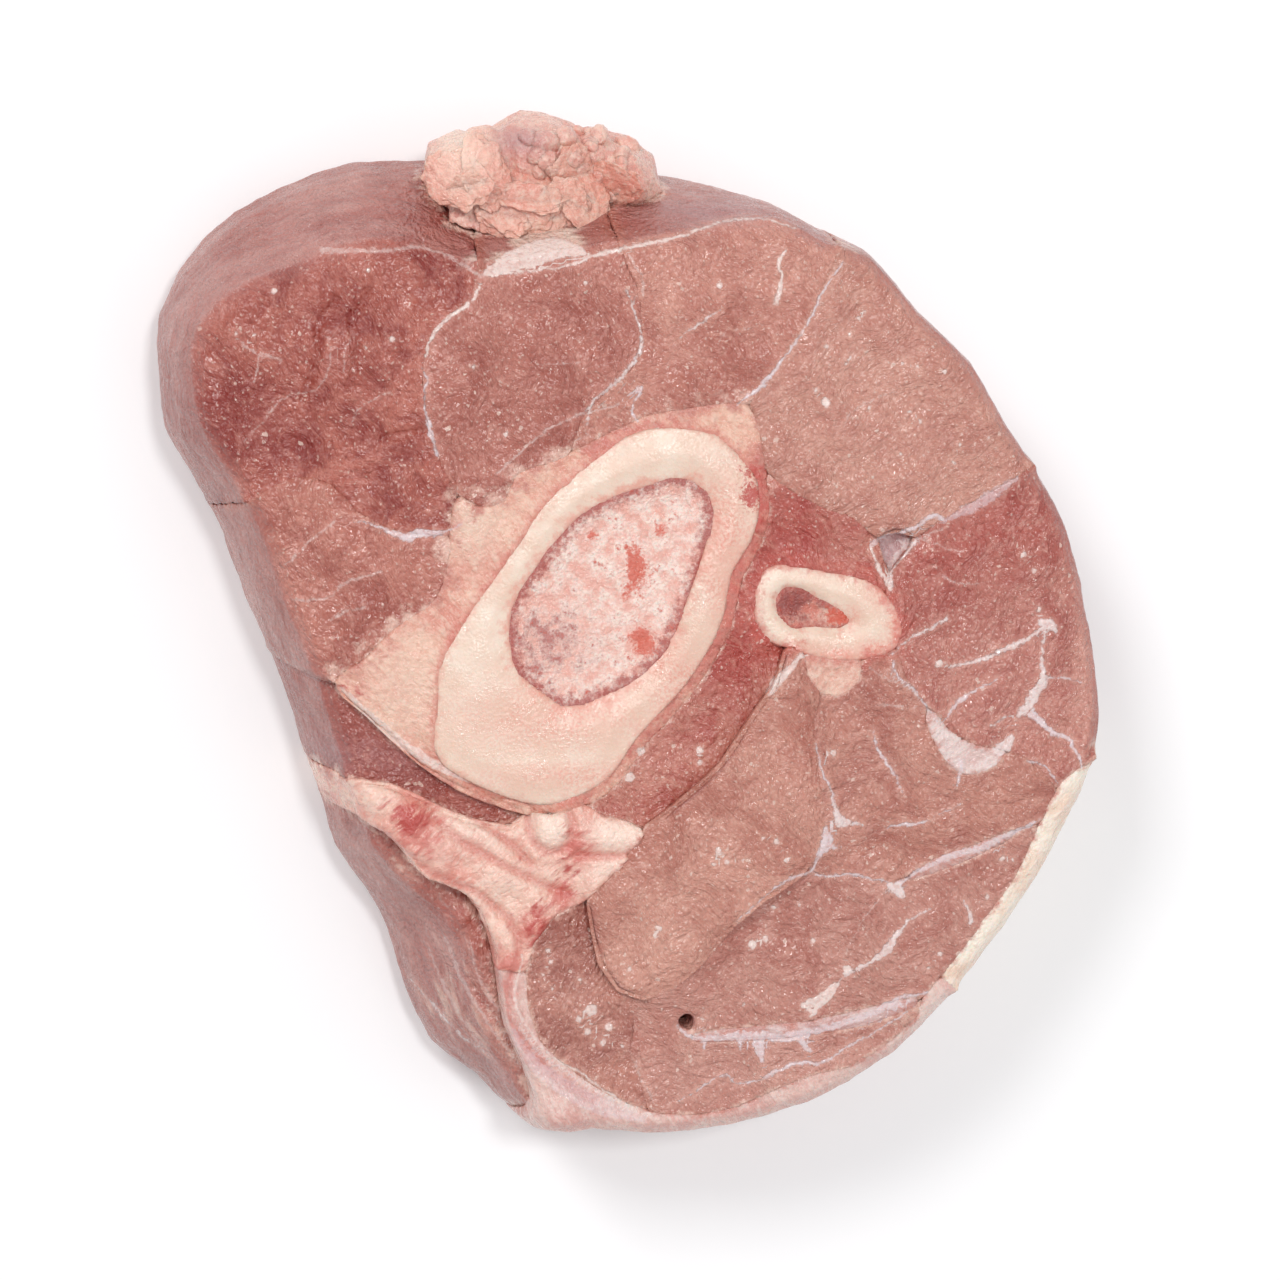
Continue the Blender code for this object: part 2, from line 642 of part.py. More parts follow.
def rough_lump(name, centre, half, turn, rounds, group):
    """An ellipsoid with an uneven skin, as a helper object."""

    def build(shape):
        bmesh.ops.create_icosphere(shape, subdivisions=rounds, radius=1.0)
        for vert in shape.verts:
            spot = Vector([way * size for way, size in zip(vert.co, half)])
            vert.co = spot + vert.co * KNOB_ROUGH * noise.noise((spot + centre) / KNOB_ROUGH_SIZE)
        turned = Matrix.Rotation(np.radians(turn), 4, "Z")
        bmesh.ops.transform(shape, matrix=Matrix.Translation(centre) @ turned, verts=shape.verts)

    lump = new_object(name, mesh_from(build), group)
    lump.hide_render = True
    lump.display_type = "WIRE"
    return lump


def fat_knob(group, tools):
    """Lumps and crumbs of fat joined into one, hollowed where they lie on the side of the meat."""
    lumps = new_collection("lumps")
    for i, (centre, half, turn, rounds) in enumerate(KNOB_LUMPS):
        rough_lump(f"lump_{i}", Vector(centre), half, turn, rounds, lumps)
    start, middle, end = (Vector(spot) for spot in CRUMB_LINE)
    chance = np.random.default_rng(11)
    for i in range(CRUMBS):
        share = (i + 0.5) / CRUMBS
        spot = start.lerp(middle, share).lerp(middle.lerp(end, share), share)
        spot += Vector(chance.uniform(-1.0, 1.0, 3)) * CRUMB_SPREAD
        size = chance.uniform(*CRUMB_RADIUS)
        half = (size, size * CRUMB_FLATNESS, size * CRUMB_FLATNESS)
        rough_lump(f"crumb_{i}", spot, half, CRUMB_TURN * i, CRUMB_ROUNDS, lumps)
    first = lumps.objects[0]
    knob = new_object("fat_knob", first.data.copy(), group)
    bpy.data.objects.remove(first)
    apply_boolean(knob, lumps, "UNION")
    for lump in list(lumps.objects):
        bpy.data.objects.remove(lump)
    bpy.data.collections.remove(lumps)
    clearance = new_object("cut_meat", meat_mesh(grow=GAP), tools)
    clearance.hide_render = True
    clearance.display_type = "WIRE"
    apply_boolean(knob, clearance, "DIFFERENCE")
    knob.data.materials.clear()
    knob.data.materials.append(finish("fat_knob", FAT))


def to_metres(things):
    """Scales finished meshes to metres and moves the middle of the slice to the origin."""
    scale = Matrix.Scale(MM, 4) @ Matrix.Translation(TO_CENTRE)
    for thing in things:
        thing.data.transform(scale)
        thing.data.update()


def main():
    clear_scene()
    slice_group = new_collection("raw_beef_shank")
    tools = new_collection("cutters")
    walls = new_collection("walls")
    meat = new_object("meat", meat_mesh(), tools)
    profiles = {}
    for name, (line, closed, groove) in plan_lines().items():
        if groove not in profiles:
            profiles[groove] = groove_profile(*groove, tools)
        cut_wall(name, line, closed, profiles[groove], walls)
    pit_cutter(walls)
    apply_boolean(meat, walls, "DIFFERENCE")
    place_pieces(loose_parts(meat.data), slice_group)
    fat_knob(slice_group, tools)
    bpy.data.objects.remove(meat)
    to_metres(slice_group.objects)


main()
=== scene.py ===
# %% [markdown]
# # A slice of raw beef shank
# The slice is a bundle of muscles round two bones, sawn straight across. The frame holds every muscle,
# bone and fat column as a plain solid. Here each gets its soft, moist surface: relief first, then colour.

# %% Load the frame
import json
import math

import bpy
import numpy as np
from mathutils import Matrix, Vector
from mathutils.bvhtree import BVHTree
from mathutils.kdtree import KDTree


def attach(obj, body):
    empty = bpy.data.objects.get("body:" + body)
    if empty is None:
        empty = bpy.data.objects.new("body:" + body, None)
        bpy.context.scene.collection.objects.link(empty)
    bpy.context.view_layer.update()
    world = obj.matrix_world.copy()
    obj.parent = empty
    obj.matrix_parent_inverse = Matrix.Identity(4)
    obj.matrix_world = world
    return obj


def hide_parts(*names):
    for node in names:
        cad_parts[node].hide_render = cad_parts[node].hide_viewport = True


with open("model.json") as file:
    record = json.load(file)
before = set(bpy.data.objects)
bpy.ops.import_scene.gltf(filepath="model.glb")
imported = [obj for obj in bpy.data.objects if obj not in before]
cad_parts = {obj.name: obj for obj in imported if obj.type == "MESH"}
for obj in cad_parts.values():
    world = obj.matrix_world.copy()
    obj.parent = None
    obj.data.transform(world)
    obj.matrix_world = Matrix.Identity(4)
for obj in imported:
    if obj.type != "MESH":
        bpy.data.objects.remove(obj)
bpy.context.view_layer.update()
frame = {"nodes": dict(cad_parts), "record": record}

MM = 0.001

# %% [markdown]
# ## Camera
# The slice lies low at the right of the picture, so it is seen from the upper left, almost from straight
# above. The camera stands where it stood for the photograph and is aimed at the middle of the slice.

# %% Camera
EYE = Vector((-77.1, 54.8, 482.0)) * MM
AIM = Vector((-1.0, -1.0, 28.0)) * MM
LENS = 93.0
SLICE_UP = Vector((0.0, 1.0, 0.0))
NEAR_CLIP = 0.01


def aimed(thing, target, up):
    """Turns a camera or lamp so that its -Z looks at the target and its +Y is as near to up as it can be."""
    back = (thing.location - target).normalized()
    right = up.cross(back).normalized()
    over = back.cross(right)
    thing.rotation_mode = "QUATERNION"
    turned = [[right[i], over[i], back[i]] for i in range(3)]
    thing.rotation_quaternion = Matrix(turned).to_quaternion()


bpy.ops.object.camera_add(location=EYE)
camera = bpy.context.object
camera.name = "camera"
camera.data.lens = LENS
camera.data.clip_start = NEAR_CLIP
aimed(camera, AIM, SLICE_UP)
bpy.context.scene.camera = camera
print("camera:", round((EYE - AIM).length / MM), "mm from the slice, lens", LENS, "mm")

# %% [markdown]
# ## Light and floor
# A butcher's photograph on white: a soft key lamp from the far left, a broad fill lamp from the near right,
# a small lamp overhead for the moist glints, and a bright surround that lightens every fold. The pale floor
# keeps only a faint shade of the slice. Standard view keeps the colours true.

# %% Light
KEY_AT = Vector((-0.45, 0.50, 0.75))
KEY_SIZE = 0.26
KEY_POWER = 3.65
FILL_AT = Vector((0.60, -0.35, 0.70))
FILL_SIZE = 0.9
FILL_POWER = 1.5
GLINT_AT = Vector((0.06, 0.22, 0.95))
GLINT_SIZE = 0.10
GLINT_POWER = 2.5
SURROUND = (0.97, 0.97, 1.0)
SURROUND_STRENGTH = 0.53

bpy.context.scene.view_settings.view_transform = "Standard"
world = bpy.data.worlds.new("soft surround")
world.use_nodes = True
surround = world.node_tree.nodes["Background"]
surround.inputs["Color"].default_value = (*SURROUND, 1.0)
surround.inputs["Strength"].default_value = SURROUND_STRENGTH
bpy.context.scene.world = world

for lamp_name, lamp_at, lamp_size, power in (
    ("key", KEY_AT, KEY_SIZE, KEY_POWER),
    ("fill", FILL_AT, FILL_SIZE, FILL_POWER),
    ("glint", GLINT_AT, GLINT_SIZE, GLINT_POWER),
):
    bpy.ops.object.light_add(type="AREA", location=lamp_at)
    lamp = bpy.context.object
    lamp.name = lamp_name
    lamp.data.size = lamp_size
    lamp.data.energy = power
    aimed(lamp, AIM, SLICE_UP)
    print("lamp:", lamp_name, power, "watts,", lamp_size, "m wide")

# %% Floor
FLOOR_SIZE = 6.0
FLOOR_THICKNESS = 0.02
# The floor lies this far under the slice, so that the two faces don't flicker
FLOOR_DROP = 0.0001
PAPER_WHITE = 0.97
PAPER_ROUGHNESS = 0.9

bpy.ops.object.select_all(action="DESELECT")
bpy.ops.mesh.primitive_cube_add(size=1.0, location=(0.0, 0.0, -FLOOR_THICKNESS / 2 - FLOOR_DROP))
floor = bpy.context.object
floor.name = "floor"
floor.scale = (FLOOR_SIZE, FLOOR_SIZE, FLOOR_THICKNESS)
bpy.ops.object.transform_apply(location=True, rotation=True, scale=True)
paper = bpy.data.materials.new("white paper")
paper.use_nodes = True
paper_shader = paper.node_tree.nodes["Principled BSDF"]
paper_shader.inputs["Base Color"].default_value = (PAPER_WHITE, PAPER_WHITE, PAPER_WHITE, 1.0)
paper_shader.inputs["Roughness"].default_value = PAPER_ROUGHNESS
floor.data.materials.append(paper)
print("floor:", FLOOR_SIZE, "m square")

# %% [markdown]
# ## From solid to soft piece
# Raw meat has no sharp edges. A copy of each solid is merged, rebuilt from even small squares by a voxel
# remesh and smoothed. The grooves that part the solids are drawn nearly shut, since the muscles of a fresh
# slice lie against each other, and clouds of relief of a few millimetres and less are pushed into the cut
# face and, more weakly, into the side. Modelling each muscle by hand would give the same form with
# far more work, and would not fit its neighbours.

# %% Measures of a piece
# Heights between which the side passes into the cut face
TOP_ZONE = (25.0, 29.5)


def smooth_step(low, high, value):
    """Rises from 0 to 1 between low and high, with soft ends."""
    share = np.clip((value - low) / (high - low), 0.0, 1.0)
    return share * share * (3.0 - 2.0 * share)


def places(piece):
    """Where the points of a piece are, in millimetres."""
    flat = np.zeros(len(piece.data.vertices) * 3, np.float32)
    piece.data.vertices.foreach_get("co", flat)
    return flat.reshape(-1, 3) / MM


def put_places(piece, spots):
    """Moves the points of a piece to places in millimetres."""
    piece.data.vertices.foreach_set("co", (spots * MM).astype(np.float32).ravel())
    piece.data.update()


def ways(piece):
    """Which way the surface faces at each point."""
    flat = np.zeros(len(piece.data.vertices) * 3, np.float32)
    piece.data.vertices.foreach_get("normal", flat)
    return flat.reshape(-1, 3)


def solids_tree(names):
    """A search tree of some solids, in millimetres."""
    corners, faces = [], []
    for name in names:
        mesh = frame["nodes"][name].data
        first = len(corners)
        corners += [v.co / MM for v in mesh.vertices]
        faces += [[first + i for i in p.vertices] for p in mesh.polygons]
    return BVHTree.FromPolygons(corners, faces)


def gap_to_others(spots, tree, reach=6.0):
    """How far each point is from the nearest other solid, up to a limit, and the way there."""
    gaps = np.full(len(spots), reach, np.float32)
    toward = np.zeros((len(spots), 3), np.float32)
    for i, spot in enumerate(spots):
        found = tree.find_nearest(Vector(spot.tolist()), reach)
        if found[0] is not None:
            gaps[i] = found[3]
            toward[i] = found[0] - Vector(spot.tolist())
    return gaps, toward


# %% Shaping steps
# Points nearer to each other than this, in metres, are one point
SAME_POINT = 0.00001
WEIGHT_STEPS = 20


def only(piece):
    """Makes a piece the one selected and active object."""
    bpy.ops.object.select_all(action="DESELECT")
    piece.select_set(True)
    bpy.context.view_layer.objects.active = piece


def modify(piece, kind, **settings):
    """Adds one modifier to a piece and applies it."""
    only(piece)
    modifier = piece.modifiers.new(kind.lower(), kind)
    for name, value in settings.items():
        setattr(modifier, name, value)
    bpy.ops.object.modifier_apply(modifier=modifier.name)


def merged_copy(name, node_name):
    """A new object with a node's shape, whose loose triangles are joined."""
    piece = bpy.data.objects.new(name, frame["nodes"][node_name].data.copy())
    bpy.context.scene.collection.objects.link(piece)
    piece.data.materials.clear()
    only(piece)
    bpy.ops.object.mode_set(mode="EDIT")
    bpy.ops.mesh.select_all(action="SELECT")
    bpy.ops.mesh.remove_doubles(threshold=SAME_POINT)
    bpy.ops.object.mode_set(mode="OBJECT")
    return piece


def weigh(piece, name, weights):
    """Stores weights from 0 to 1 in a vertex group, in even steps."""
    group = piece.vertex_groups.new(name=name)
    steps = np.round(weights * WEIGHT_STEPS).astype(int)
    for step in range(1, WEIGHT_STEPS + 1):
        chosen = np.nonzero(steps == step)[0].tolist()
        if chosen:
            group.add(chosen, step / WEIGHT_STEPS, "REPLACE")


def clouds(name, size, depth):
    """A cloud texture whose lumps are about size millimetres."""
    texture = bpy.data.textures.get(name) or bpy.data.textures.new(name, "CLOUDS")
    texture.noise_scale = size * MM
    texture.noise_depth = depth
    texture.noise_basis = "ORIGINAL_PERLIN"
    return texture


def push(piece, texture, height, group, level):
    """Relief of a height in millimetres, where the vertex group allows it."""
    modify(
        piece, "DISPLACE", texture=texture, texture_coords="LOCAL", mid_level=level,
        strength=height * MM, vertex_group=group,
    )


# %% Level of the cut face
FACING_STRAIGHT_UP = 0.9
# How many points round a place its level is read from, and how evenly near and far ones count
LEVEL_POINTS = 14
LEVEL_EVENNESS = 0.3


def cut_face_points():
    """Points of every solid's cut face, with the solid's name: what the level over a place is read from."""
    spots, owners = [], []
    for name, node in frame["nodes"].items():
        points = [tuple(round(c / MM, 3) for c in v.co) for v in node.data.vertices]
        chosen = set()
        for face in node.data.polygons:
            if face.normal.z > FACING_STRAIGHT_UP and face.center.z > TOP_ZONE[0] * MM:
                chosen |= {points[i] for i in face.vertices}
        spots += sorted(chosen)
        owners += [name] * len(chosen)
    tree = KDTree(len(spots))
    for i, (x, y, _) in enumerate(spots):
        tree.insert((x, y, 0.0), i)
    tree.balance()
    return tree, [z for _, _, z in spots], owners


FACE_TREE, FACE_HEIGHTS, FACE_OWNERS = cut_face_points()
print("points of the cut face:", len(FACE_OWNERS))


def level_of(x, y, name, own):
    """Height of the cut face near a plan place, of one solid or of its neighbours."""
    total = pull = 0.0
    for _, i, distance in FACE_TREE.find_n((x, y, 0.0), LEVEL_POINTS):
        if (FACE_OWNERS[i] == name) == own:
            share = 1.0 / (distance * distance + LEVEL_EVENNESS)
            total += share * FACE_HEIGHTS[i]
            pull += share
    return total / pull if pull else None


# %% Joining the pieces over the seams
# Points nearer than this to a neighbour are moved, and the draw fades out between the next two gaps
SEAM_ZONE = 4.0
SEAM_DRAW = (0.9, 2.2)
# A groove down to its depth keeps a tenth of it, and a deeper fall is left as it is from the fade on
GROOVE_DEPTH = 1.7
GROOVE_KEEP = 0.10
GROOVE_FADE = 5.0
# Steps between neighbours are evened out below the first height and stay above the second
STEP_LEFT = (1.5, 2.1)
# The small bone and its marrow meet in one level, though the solids stand further apart
LEVEL_PAIR = ("small_bone", "small_marrow")
LEVEL_STEP = (2.8, 3.4)
MEET_FROM = 0.3
# Share of the way to the neighbour, and millimetres that the sides are filled out
SHUT = 0.56
SEAM_FILL = 0.20
# On the sides and underside: how far a point may face its neighbour, and how near the seam it is drawn
SKIN_FACING = (0.4, 0.8)
SKIN_SEAM = (0.7, 1.8)
# A way shorter than this has no direction
NO_WAY = 0.01


def drawn_depth(depth):
    """How deep a point of a groove's slope lies once the groove is drawn nearly shut."""
    if depth < GROOVE_DEPTH:
        return depth * GROOVE_KEEP
    if depth < GROOVE_FADE:
        share = (depth - GROOVE_DEPTH) / (GROOVE_FADE - GROOVE_DEPTH)
        return GROOVE_DEPTH * GROOVE_KEEP * (1 - share) + GROOVE_FADE * share
    return depth


def join_sides(piece, gaps, toward):
    """Places of a piece once the thin seams of its sides and underside are filled and drawn together."""
    spots = places(piece)
    facing = (ways(piece) * toward).sum(1) / np.maximum(np.linalg.norm(toward, axis=1), NO_WAY)
    skin = (1.0 - smooth_step(*SKIN_FACING, facing)) * (1.0 - smooth_step(*SKIN_SEAM, gaps))
    spots += ways(piece) * (skin * SEAM_FILL)[:, None]
    skin *= 1.0 - smooth_step(*TOP_ZONE, spots[:, 2])
    spots += toward * (skin * SHUT)[:, None]
    return spots


def join_seams(piece, name, gaps, toward):
    """Draws the slopes of the grooves up and over, so that neighbours meet in a level seam."""
    step_left = LEVEL_STEP if name in LEVEL_PAIR else STEP_LEFT
    spots = join_sides(piece, gaps, toward)
    high = (spots[:, 2] > TOP_ZONE[0] - GROOVE_FADE) & (gaps < SEAM_ZONE)
    for i in np.nonzero(high)[0].tolist():
        x, y, z = spots[i].tolist()
        own = level_of(x, y, name, True)
        other = level_of(x, y, name, False)
        if own is None:
            continue
        beside = 1.0 - float(smooth_step(*SEAM_DRAW, gaps[i]))
        depth = max(own - z, 0.0)
        rise = (depth - drawn_depth(depth)) * beside
        near_top = 1.0 - float(smooth_step(GROOVE_DEPTH, GROOVE_FADE, depth))
        meet = 0.0
        if other is not None:
            step = other - own
            meet = step / 2 * (1.0 - float(smooth_step(*step_left, abs(step))))
            meet *= 1.0 - float(smooth_step(MEET_FROM, SEAM_ZONE, gaps[i]))
        has_way = math.hypot(toward[i, 0], toward[i, 1]) > NO_WAY
        draw = SHUT * beside * near_top if has_way else 0.0
        spots[i, 0] += toward[i, 0] * draw
        spots[i, 1] += toward[i, 1] * draw
        spots[i, 2] += rise + meet * near_top
    put_places(piece, spots)


# %% [markdown]
# ## What is drawn on the cut face
# Thin sheets of white sinew part the muscles, branch between them and end in flecks of fat. They lie flush
# in the meat, so they are colour with a slight ridge. Each is a line with its widths. Every point of a piece
# remembers the nearest place on a line, and the finish measures from there, so a line stays sharp
# however coarse the mesh. Painting a picture of them would tie the looks to an image.
# The lines and zones are placed by where they lie in the photograph, 4 pixels to the millimetre.

# %% Lines of sinew and fat
# Millimetres in a pixel of the photograph, and where the middle of the slice lies in it
PIXEL = 0.25
PHOTO_MIDDLE = (948.4, 859.2)

# Looks: how lilac, how strong, how frayed
LILAC = (0.75, 1.0, 0.35)
WHITE = (0.30, 1.0, 0.45)
CREAM = (0.0, 0.9, 0.30)
FAINT = (0.15, 0.42, 0.40)
BAND = (0.95, 0.50, 0.60)

# Look, widths along the line in pixels, and points in the photograph
LINES = {
    "upper_right_seam": (LILAC, (1.5, 2, 2, 2, 4, 1.5), (
        (1055, 653), (1045, 667), (1037, 683), (1024, 703), (1011, 719), (996, 731))),
    "upper_b_top": (FAINT, (2, 2), ((936, 649), (943, 662), (943, 671))),
    "upper_b": (WHITE, (1.5, 2, 3, 2, 2), (
        (934, 668), (941, 687), (942, 700), (931, 715), (915, 729), (912, 741))),
    "upper_b_tangle": (LILAC, (1, 4, 2, 2, 1), (
        (934, 726), (942, 722), (937, 732), (938, 737), (942, 741))),
    "upper_a": (CREAM, (2, 3, 3, 2), (
        (853, 666), (847, 675), (834, 684), (826, 695), (823, 703))),
    "upper_a_low": (LILAC, (1, 2, 1.5, 3, 3, 2), (
        (821, 709), (824, 716), (822, 728), (825, 741), (827, 749), (830, 757))),
    "left_top": (LILAC, (1, 1.5, 3, 6, 6, 2, 1), (
        (784, 793), (792, 794), (811, 802), (818, 800), (830, 800), (837, 798), (843, 794))),
    "far_edge": (CREAM, (2.5, 2, 3, 2.5, 1.5, 1.5), (
        (860, 659), (873, 658), (898, 655), (924, 647), (962, 639), (993, 630), (1013, 629), (1030, 634))),
    "far_patch": (CREAM, (4, 12, 16, 14, 6), ((857, 658), (869, 653), (884, 648), (898, 645), (910, 647))),
    "far_edge_left": (FAINT, (4, 3, 2, 3), (
        (769, 646), (805, 646), (821, 644), (837, 649), (854, 660))),
    "oval_top": (WHITE, (1, 2, 1), ((963, 696), (968, 690), (975, 686), (986, 679))),
    "oval_side": (FAINT, (1, 1), ((984, 699), (991, 689), (997, 690), (1010, 687))),
    "long_fleck": (CREAM, (2, 3, 2, 5, 3), (
        (1023, 646), (1019, 654), (1021, 660), (1020, 667), (1018, 675))),
    "upper_right_branch": (FAINT, (1.5, 1.5, 1), ((1085, 724), (1076, 727), (1060, 736), (1057, 744))),
    "upper_right_low": (LILAC, (2, 3, 3, 4, 3), (
        (1073, 810), (1081, 806), (1094, 802), (1108, 794), (1114, 796))),
    "upper_right_low_end": (LILAC, (3, 5, 5, 3, 1.5), ((1119, 795), (1132, 788), (1145, 780), (1157, 772))),
    "junction_crescent": (WHITE, (3, 4, 4, 3), ((1099, 808), (1090, 817), (1085, 824), (1085, 833))),
    "junction_left": (CREAM, (2, 3, 3), ((1073, 811), (1078, 824), (1084, 835))),
    "junction_up": (FAINT, (2, 1.5), ((1101, 807), (1114, 801))),
    "junction_down": (FAINT, (1.5, 1), ((1101, 807), (1114, 812), (1127, 815))),
    "right_arc": (FAINT, (1.5, 1.5), ((1114, 825), (1118, 831), (1127, 833), (1135, 833))),
    "right_inner": (WHITE, (2.5, 2.5, 1.5), ((1117, 853), (1106, 859), (1096, 863), (1087, 871))),
    "right_a": (LILAC, (1.5, 2, 2, 1.5), ((1085, 872), (1087, 882), (1095, 890), (1108, 905), (1113, 913))),
    "right_a_low": (FAINT, (1.5, 1.5), ((1072, 879), (1081, 885), (1096, 893), (1106, 902))),
    "right_beads": (WHITE, (2, 3, 3.5, 3, 4), (
        (1119, 880), (1138, 876), (1150, 871), (1163, 866), (1175, 858))),
    "right_star": (WHITE, (4, 8, 4), ((1172, 855), (1177, 857), (1181, 860))),
    "right_down": (WHITE, (2, 2, 3, 6, 9, 5), (
        (1175, 856), (1173, 875), (1174, 889), (1169, 896), (1165, 904), (1160, 908))),
    "right_tail": (LILAC, (5, 4, 3, 2), ((1168, 908), (1180, 919), (1189, 923), (1195, 932), (1197, 939))),
    "right_twig": (LILAC, (1.5, 1.5), ((1175, 888), (1186, 888), (1197, 891))),
    "right_mid": (LILAC, (1, 2, 3, 2), ((1147, 888), (1140, 891), (1131, 895), (1124, 900), (1118, 908))),
    "right_bit": (WHITE, (1.5, 2), ((1152, 910), (1143, 914))),
    "right_fat_tail": (LILAC, (4, 3, 1.5), ((1126, 934), (1126, 939), (1124, 948))),
    "right_fat_knot": (WHITE, (8, 9, 4), ((1148, 928), (1152, 926), (1156, 921))),
    "right_fat_end": (LILAC, (1.5, 2, 1.5), ((1165, 935), (1174, 937), (1183, 948))),
    "lower_right_streak": (LILAC, (1.5, 3, 2.5, 1), (
        (1075, 916), (1076, 923), (1081, 932), (1086, 939), (1092, 951))),
    "lower_right_fleck": (FAINT, (1.5, 1.5), ((1078, 900), (1099, 903))),
    "lower_right_thread": (LILAC, (1, 3, 1, 1), (
        (1083, 972), (1089, 970), (1102, 969), (1114, 964), (1126, 959))),
    "tongue_side": (LILAC, (1.5, 2, 2), ((1041, 922), (1043, 931), (1047, 942), (1052, 954))),
    "tongue_fan": (WHITE, (2, 3, 8, 3, 1), (
        (1050, 951), (1053, 960), (1056, 967), (1061, 967), (1070, 969))),
    "tongue_lilac": (LILAC, (4, 9, 6, 3, 2), (
        (1047, 970), (1048, 978), (1043, 985), (1041, 991), (1040, 995))),
    "tongue_arm": (LILAC, (3, 1), ((1048, 980), (1056, 981))),
    "lower_right_a": (LILAC, (1.5, 2, 1.5), (
        (1042, 997), (1051, 998), (1061, 997), (1073, 999), (1083, 1002), (1088, 1005))),
    "tongue_low": (LILAC, (2, 2, 1.5, 1), (
        (1040, 995), (1027, 997), (1019, 1001), (1013, 1006), (996, 1021))),
    "middle_knot": (WHITE, (6, 8, 3), ((1086, 1004), (1089, 1006), (1094, 1011))),
    "middle_sheet_line": (LILAC, (2, 4, 5, 5, 4, 2), (
        (1092, 1002), (1101, 997), (1119, 989), (1139, 984), (1157, 976), (1173, 969))),
    "thread_down": (FAINT, (1, 1, 1), (
        (1083, 1007), (1077, 1014), (1070, 1023), (1065, 1032), (1059, 1044))),
    "low_vein": (WHITE, (1, 2, 3, 7, 3, 2, 1.5), (
        (1054, 1060), (1061, 1055), (1077, 1047), (1083, 1042), (1089, 1033), (1098, 1024), (1109, 1019))),
    "low_fat": (CREAM, (5, 9, 8, 4), ((1036, 1072), (1044, 1070), (1050, 1066), (1055, 1060))),
    "low_fat_foot": (CREAM, (4, 3), ((1043, 1074), (1040, 1078))),
    "lower_sheet_line": (LILAC, (3, 5, 6, 6, 5, 5, 4, 2), (
        (973, 1088), (984, 1089), (1006, 1088), (1026, 1090), (1052, 1085), (1077, 1078), (1089, 1071),
        (1108, 1067))),
    "tuft_1": (LILAC, (4, 1.5), ((979, 1090), (978, 1096))),
    "tuft_2": (LILAC, (4, 1.5), ((999, 1090), (1000, 1096))),
    "tuft_3": (LILAC, (8, 8, 3), ((1009, 1090), (1010, 1096), (1012, 1103))),
    "tuft_4": (LILAC, (5, 5, 2), ((1034, 1090), (1036, 1095), (1040, 1099))),
    "bottom_thread": (LILAC, (1.5, 1.5, 3, 1.5, 1.5), (
        (964, 1124), (978, 1117), (985, 1112), (991, 1111), (998, 1116), (1008, 1115), (1030, 1106),
        (1045, 1106), (1055, 1101), (1078, 1089), (1096, 1078))),
    "lower_left_seam": (FAINT, (1.5, 1.5), ((939, 1101), (942, 1110), (946, 1118), (950, 1125))),
    "three_arm": (WHITE, (1.5, 3, 5), ((1129, 1015), (1132, 1021), (1133, 1027))),
    "between_wedge": (CREAM, (3, 6, 4, 3), ((1014, 893), (1020, 884), (1030, 873), (1040, 868))),
    "hole_link": (LILAC, (1.5, 3, 3), ((963, 1081), (968, 1086), (975, 1089))),
    "rim_cream": (CREAM, (1.5, 2, 2, 1.5, 2, 2, 1.5), (
        (875, 1037), (873, 1047), (870, 1060), (874, 1072), (882, 1085), (892, 1097), (905, 1104),
        (918, 1114), (928, 1121), (939, 1129), (949, 1132))),
    "rim_lilac": (BAND, (3, 9, 12, 12, 5), (
        (868, 1078), (880, 1098), (896, 1112), (918, 1125), (943, 1134))),
    "flap_1": (FAINT, (2, 3, 2, 2), ((836, 1034), (845, 1058), (861, 1085), (877, 1107))),
    "flap_2": (FAINT, (1, 3, 2, 1), ((827, 1040), (835, 1062), (849, 1088), (864, 1106))),
    "flap_3": (FAINT, (2, 2, 3, 2), ((848, 1034), (854, 1056), (866, 1076), (880, 1096))),
    "flap_4": (WHITE, (1, 2, 2, 1), ((819, 1066), (832, 1080), (846, 1094), (861, 1104))),
    "sheath_lip": (CREAM, (3, 6, 7, 5, 3), ((776, 885), (795, 904), (814, 920), (838, 934), (863, 942))),
    "bone_hairline": (FAINT, (2, 2, 2), ((862, 768), (893, 742), (930, 730))),
    "low_band": (BAND, (2, 8, 8, 4), ((1114, 797), (1128, 791), (1142, 783), (1155, 774))),
    "left_swirl_1": (FAINT, (2, 2), ((747, 816), (760, 803), (773, 793))),
    "left_swirl_2": (FAINT, (2, 2), ((750, 836), (769, 835), (779, 826), (798, 821))),
    "left_swirl_3": (FAINT, (2, 2), ((769, 848), (777, 843), (790, 840))),
    "upper_left_arc_1": (FAINT, (1, 1.5, 1.5, 1), (
        (769, 690), (772, 704), (765, 720), (746, 726), (732, 742), (723, 750))),
    "upper_left_arc_2": (FAINT, (1, 1.5, 1), ((784, 690), (779, 701), (779, 714))),
    "upper_left_arc_3": (FAINT, (1, 1.5, 1), ((782, 740), (787, 732), (796, 726), (805, 722))),
    "upper_left_star": (FAINT, (2, 3, 2), ((724, 696), (733, 701), (745, 705))),
    "upper_left_star_leg": (FAINT, (2, 1.5), ((733, 701), (731, 717))),
    "inner_arc": (FAINT, (1, 1), ((903, 751), (914, 748), (922, 752), (925, 755))),
    "inner_dash": (FAINT, (1, 1), ((885, 708), (911, 707))),
}

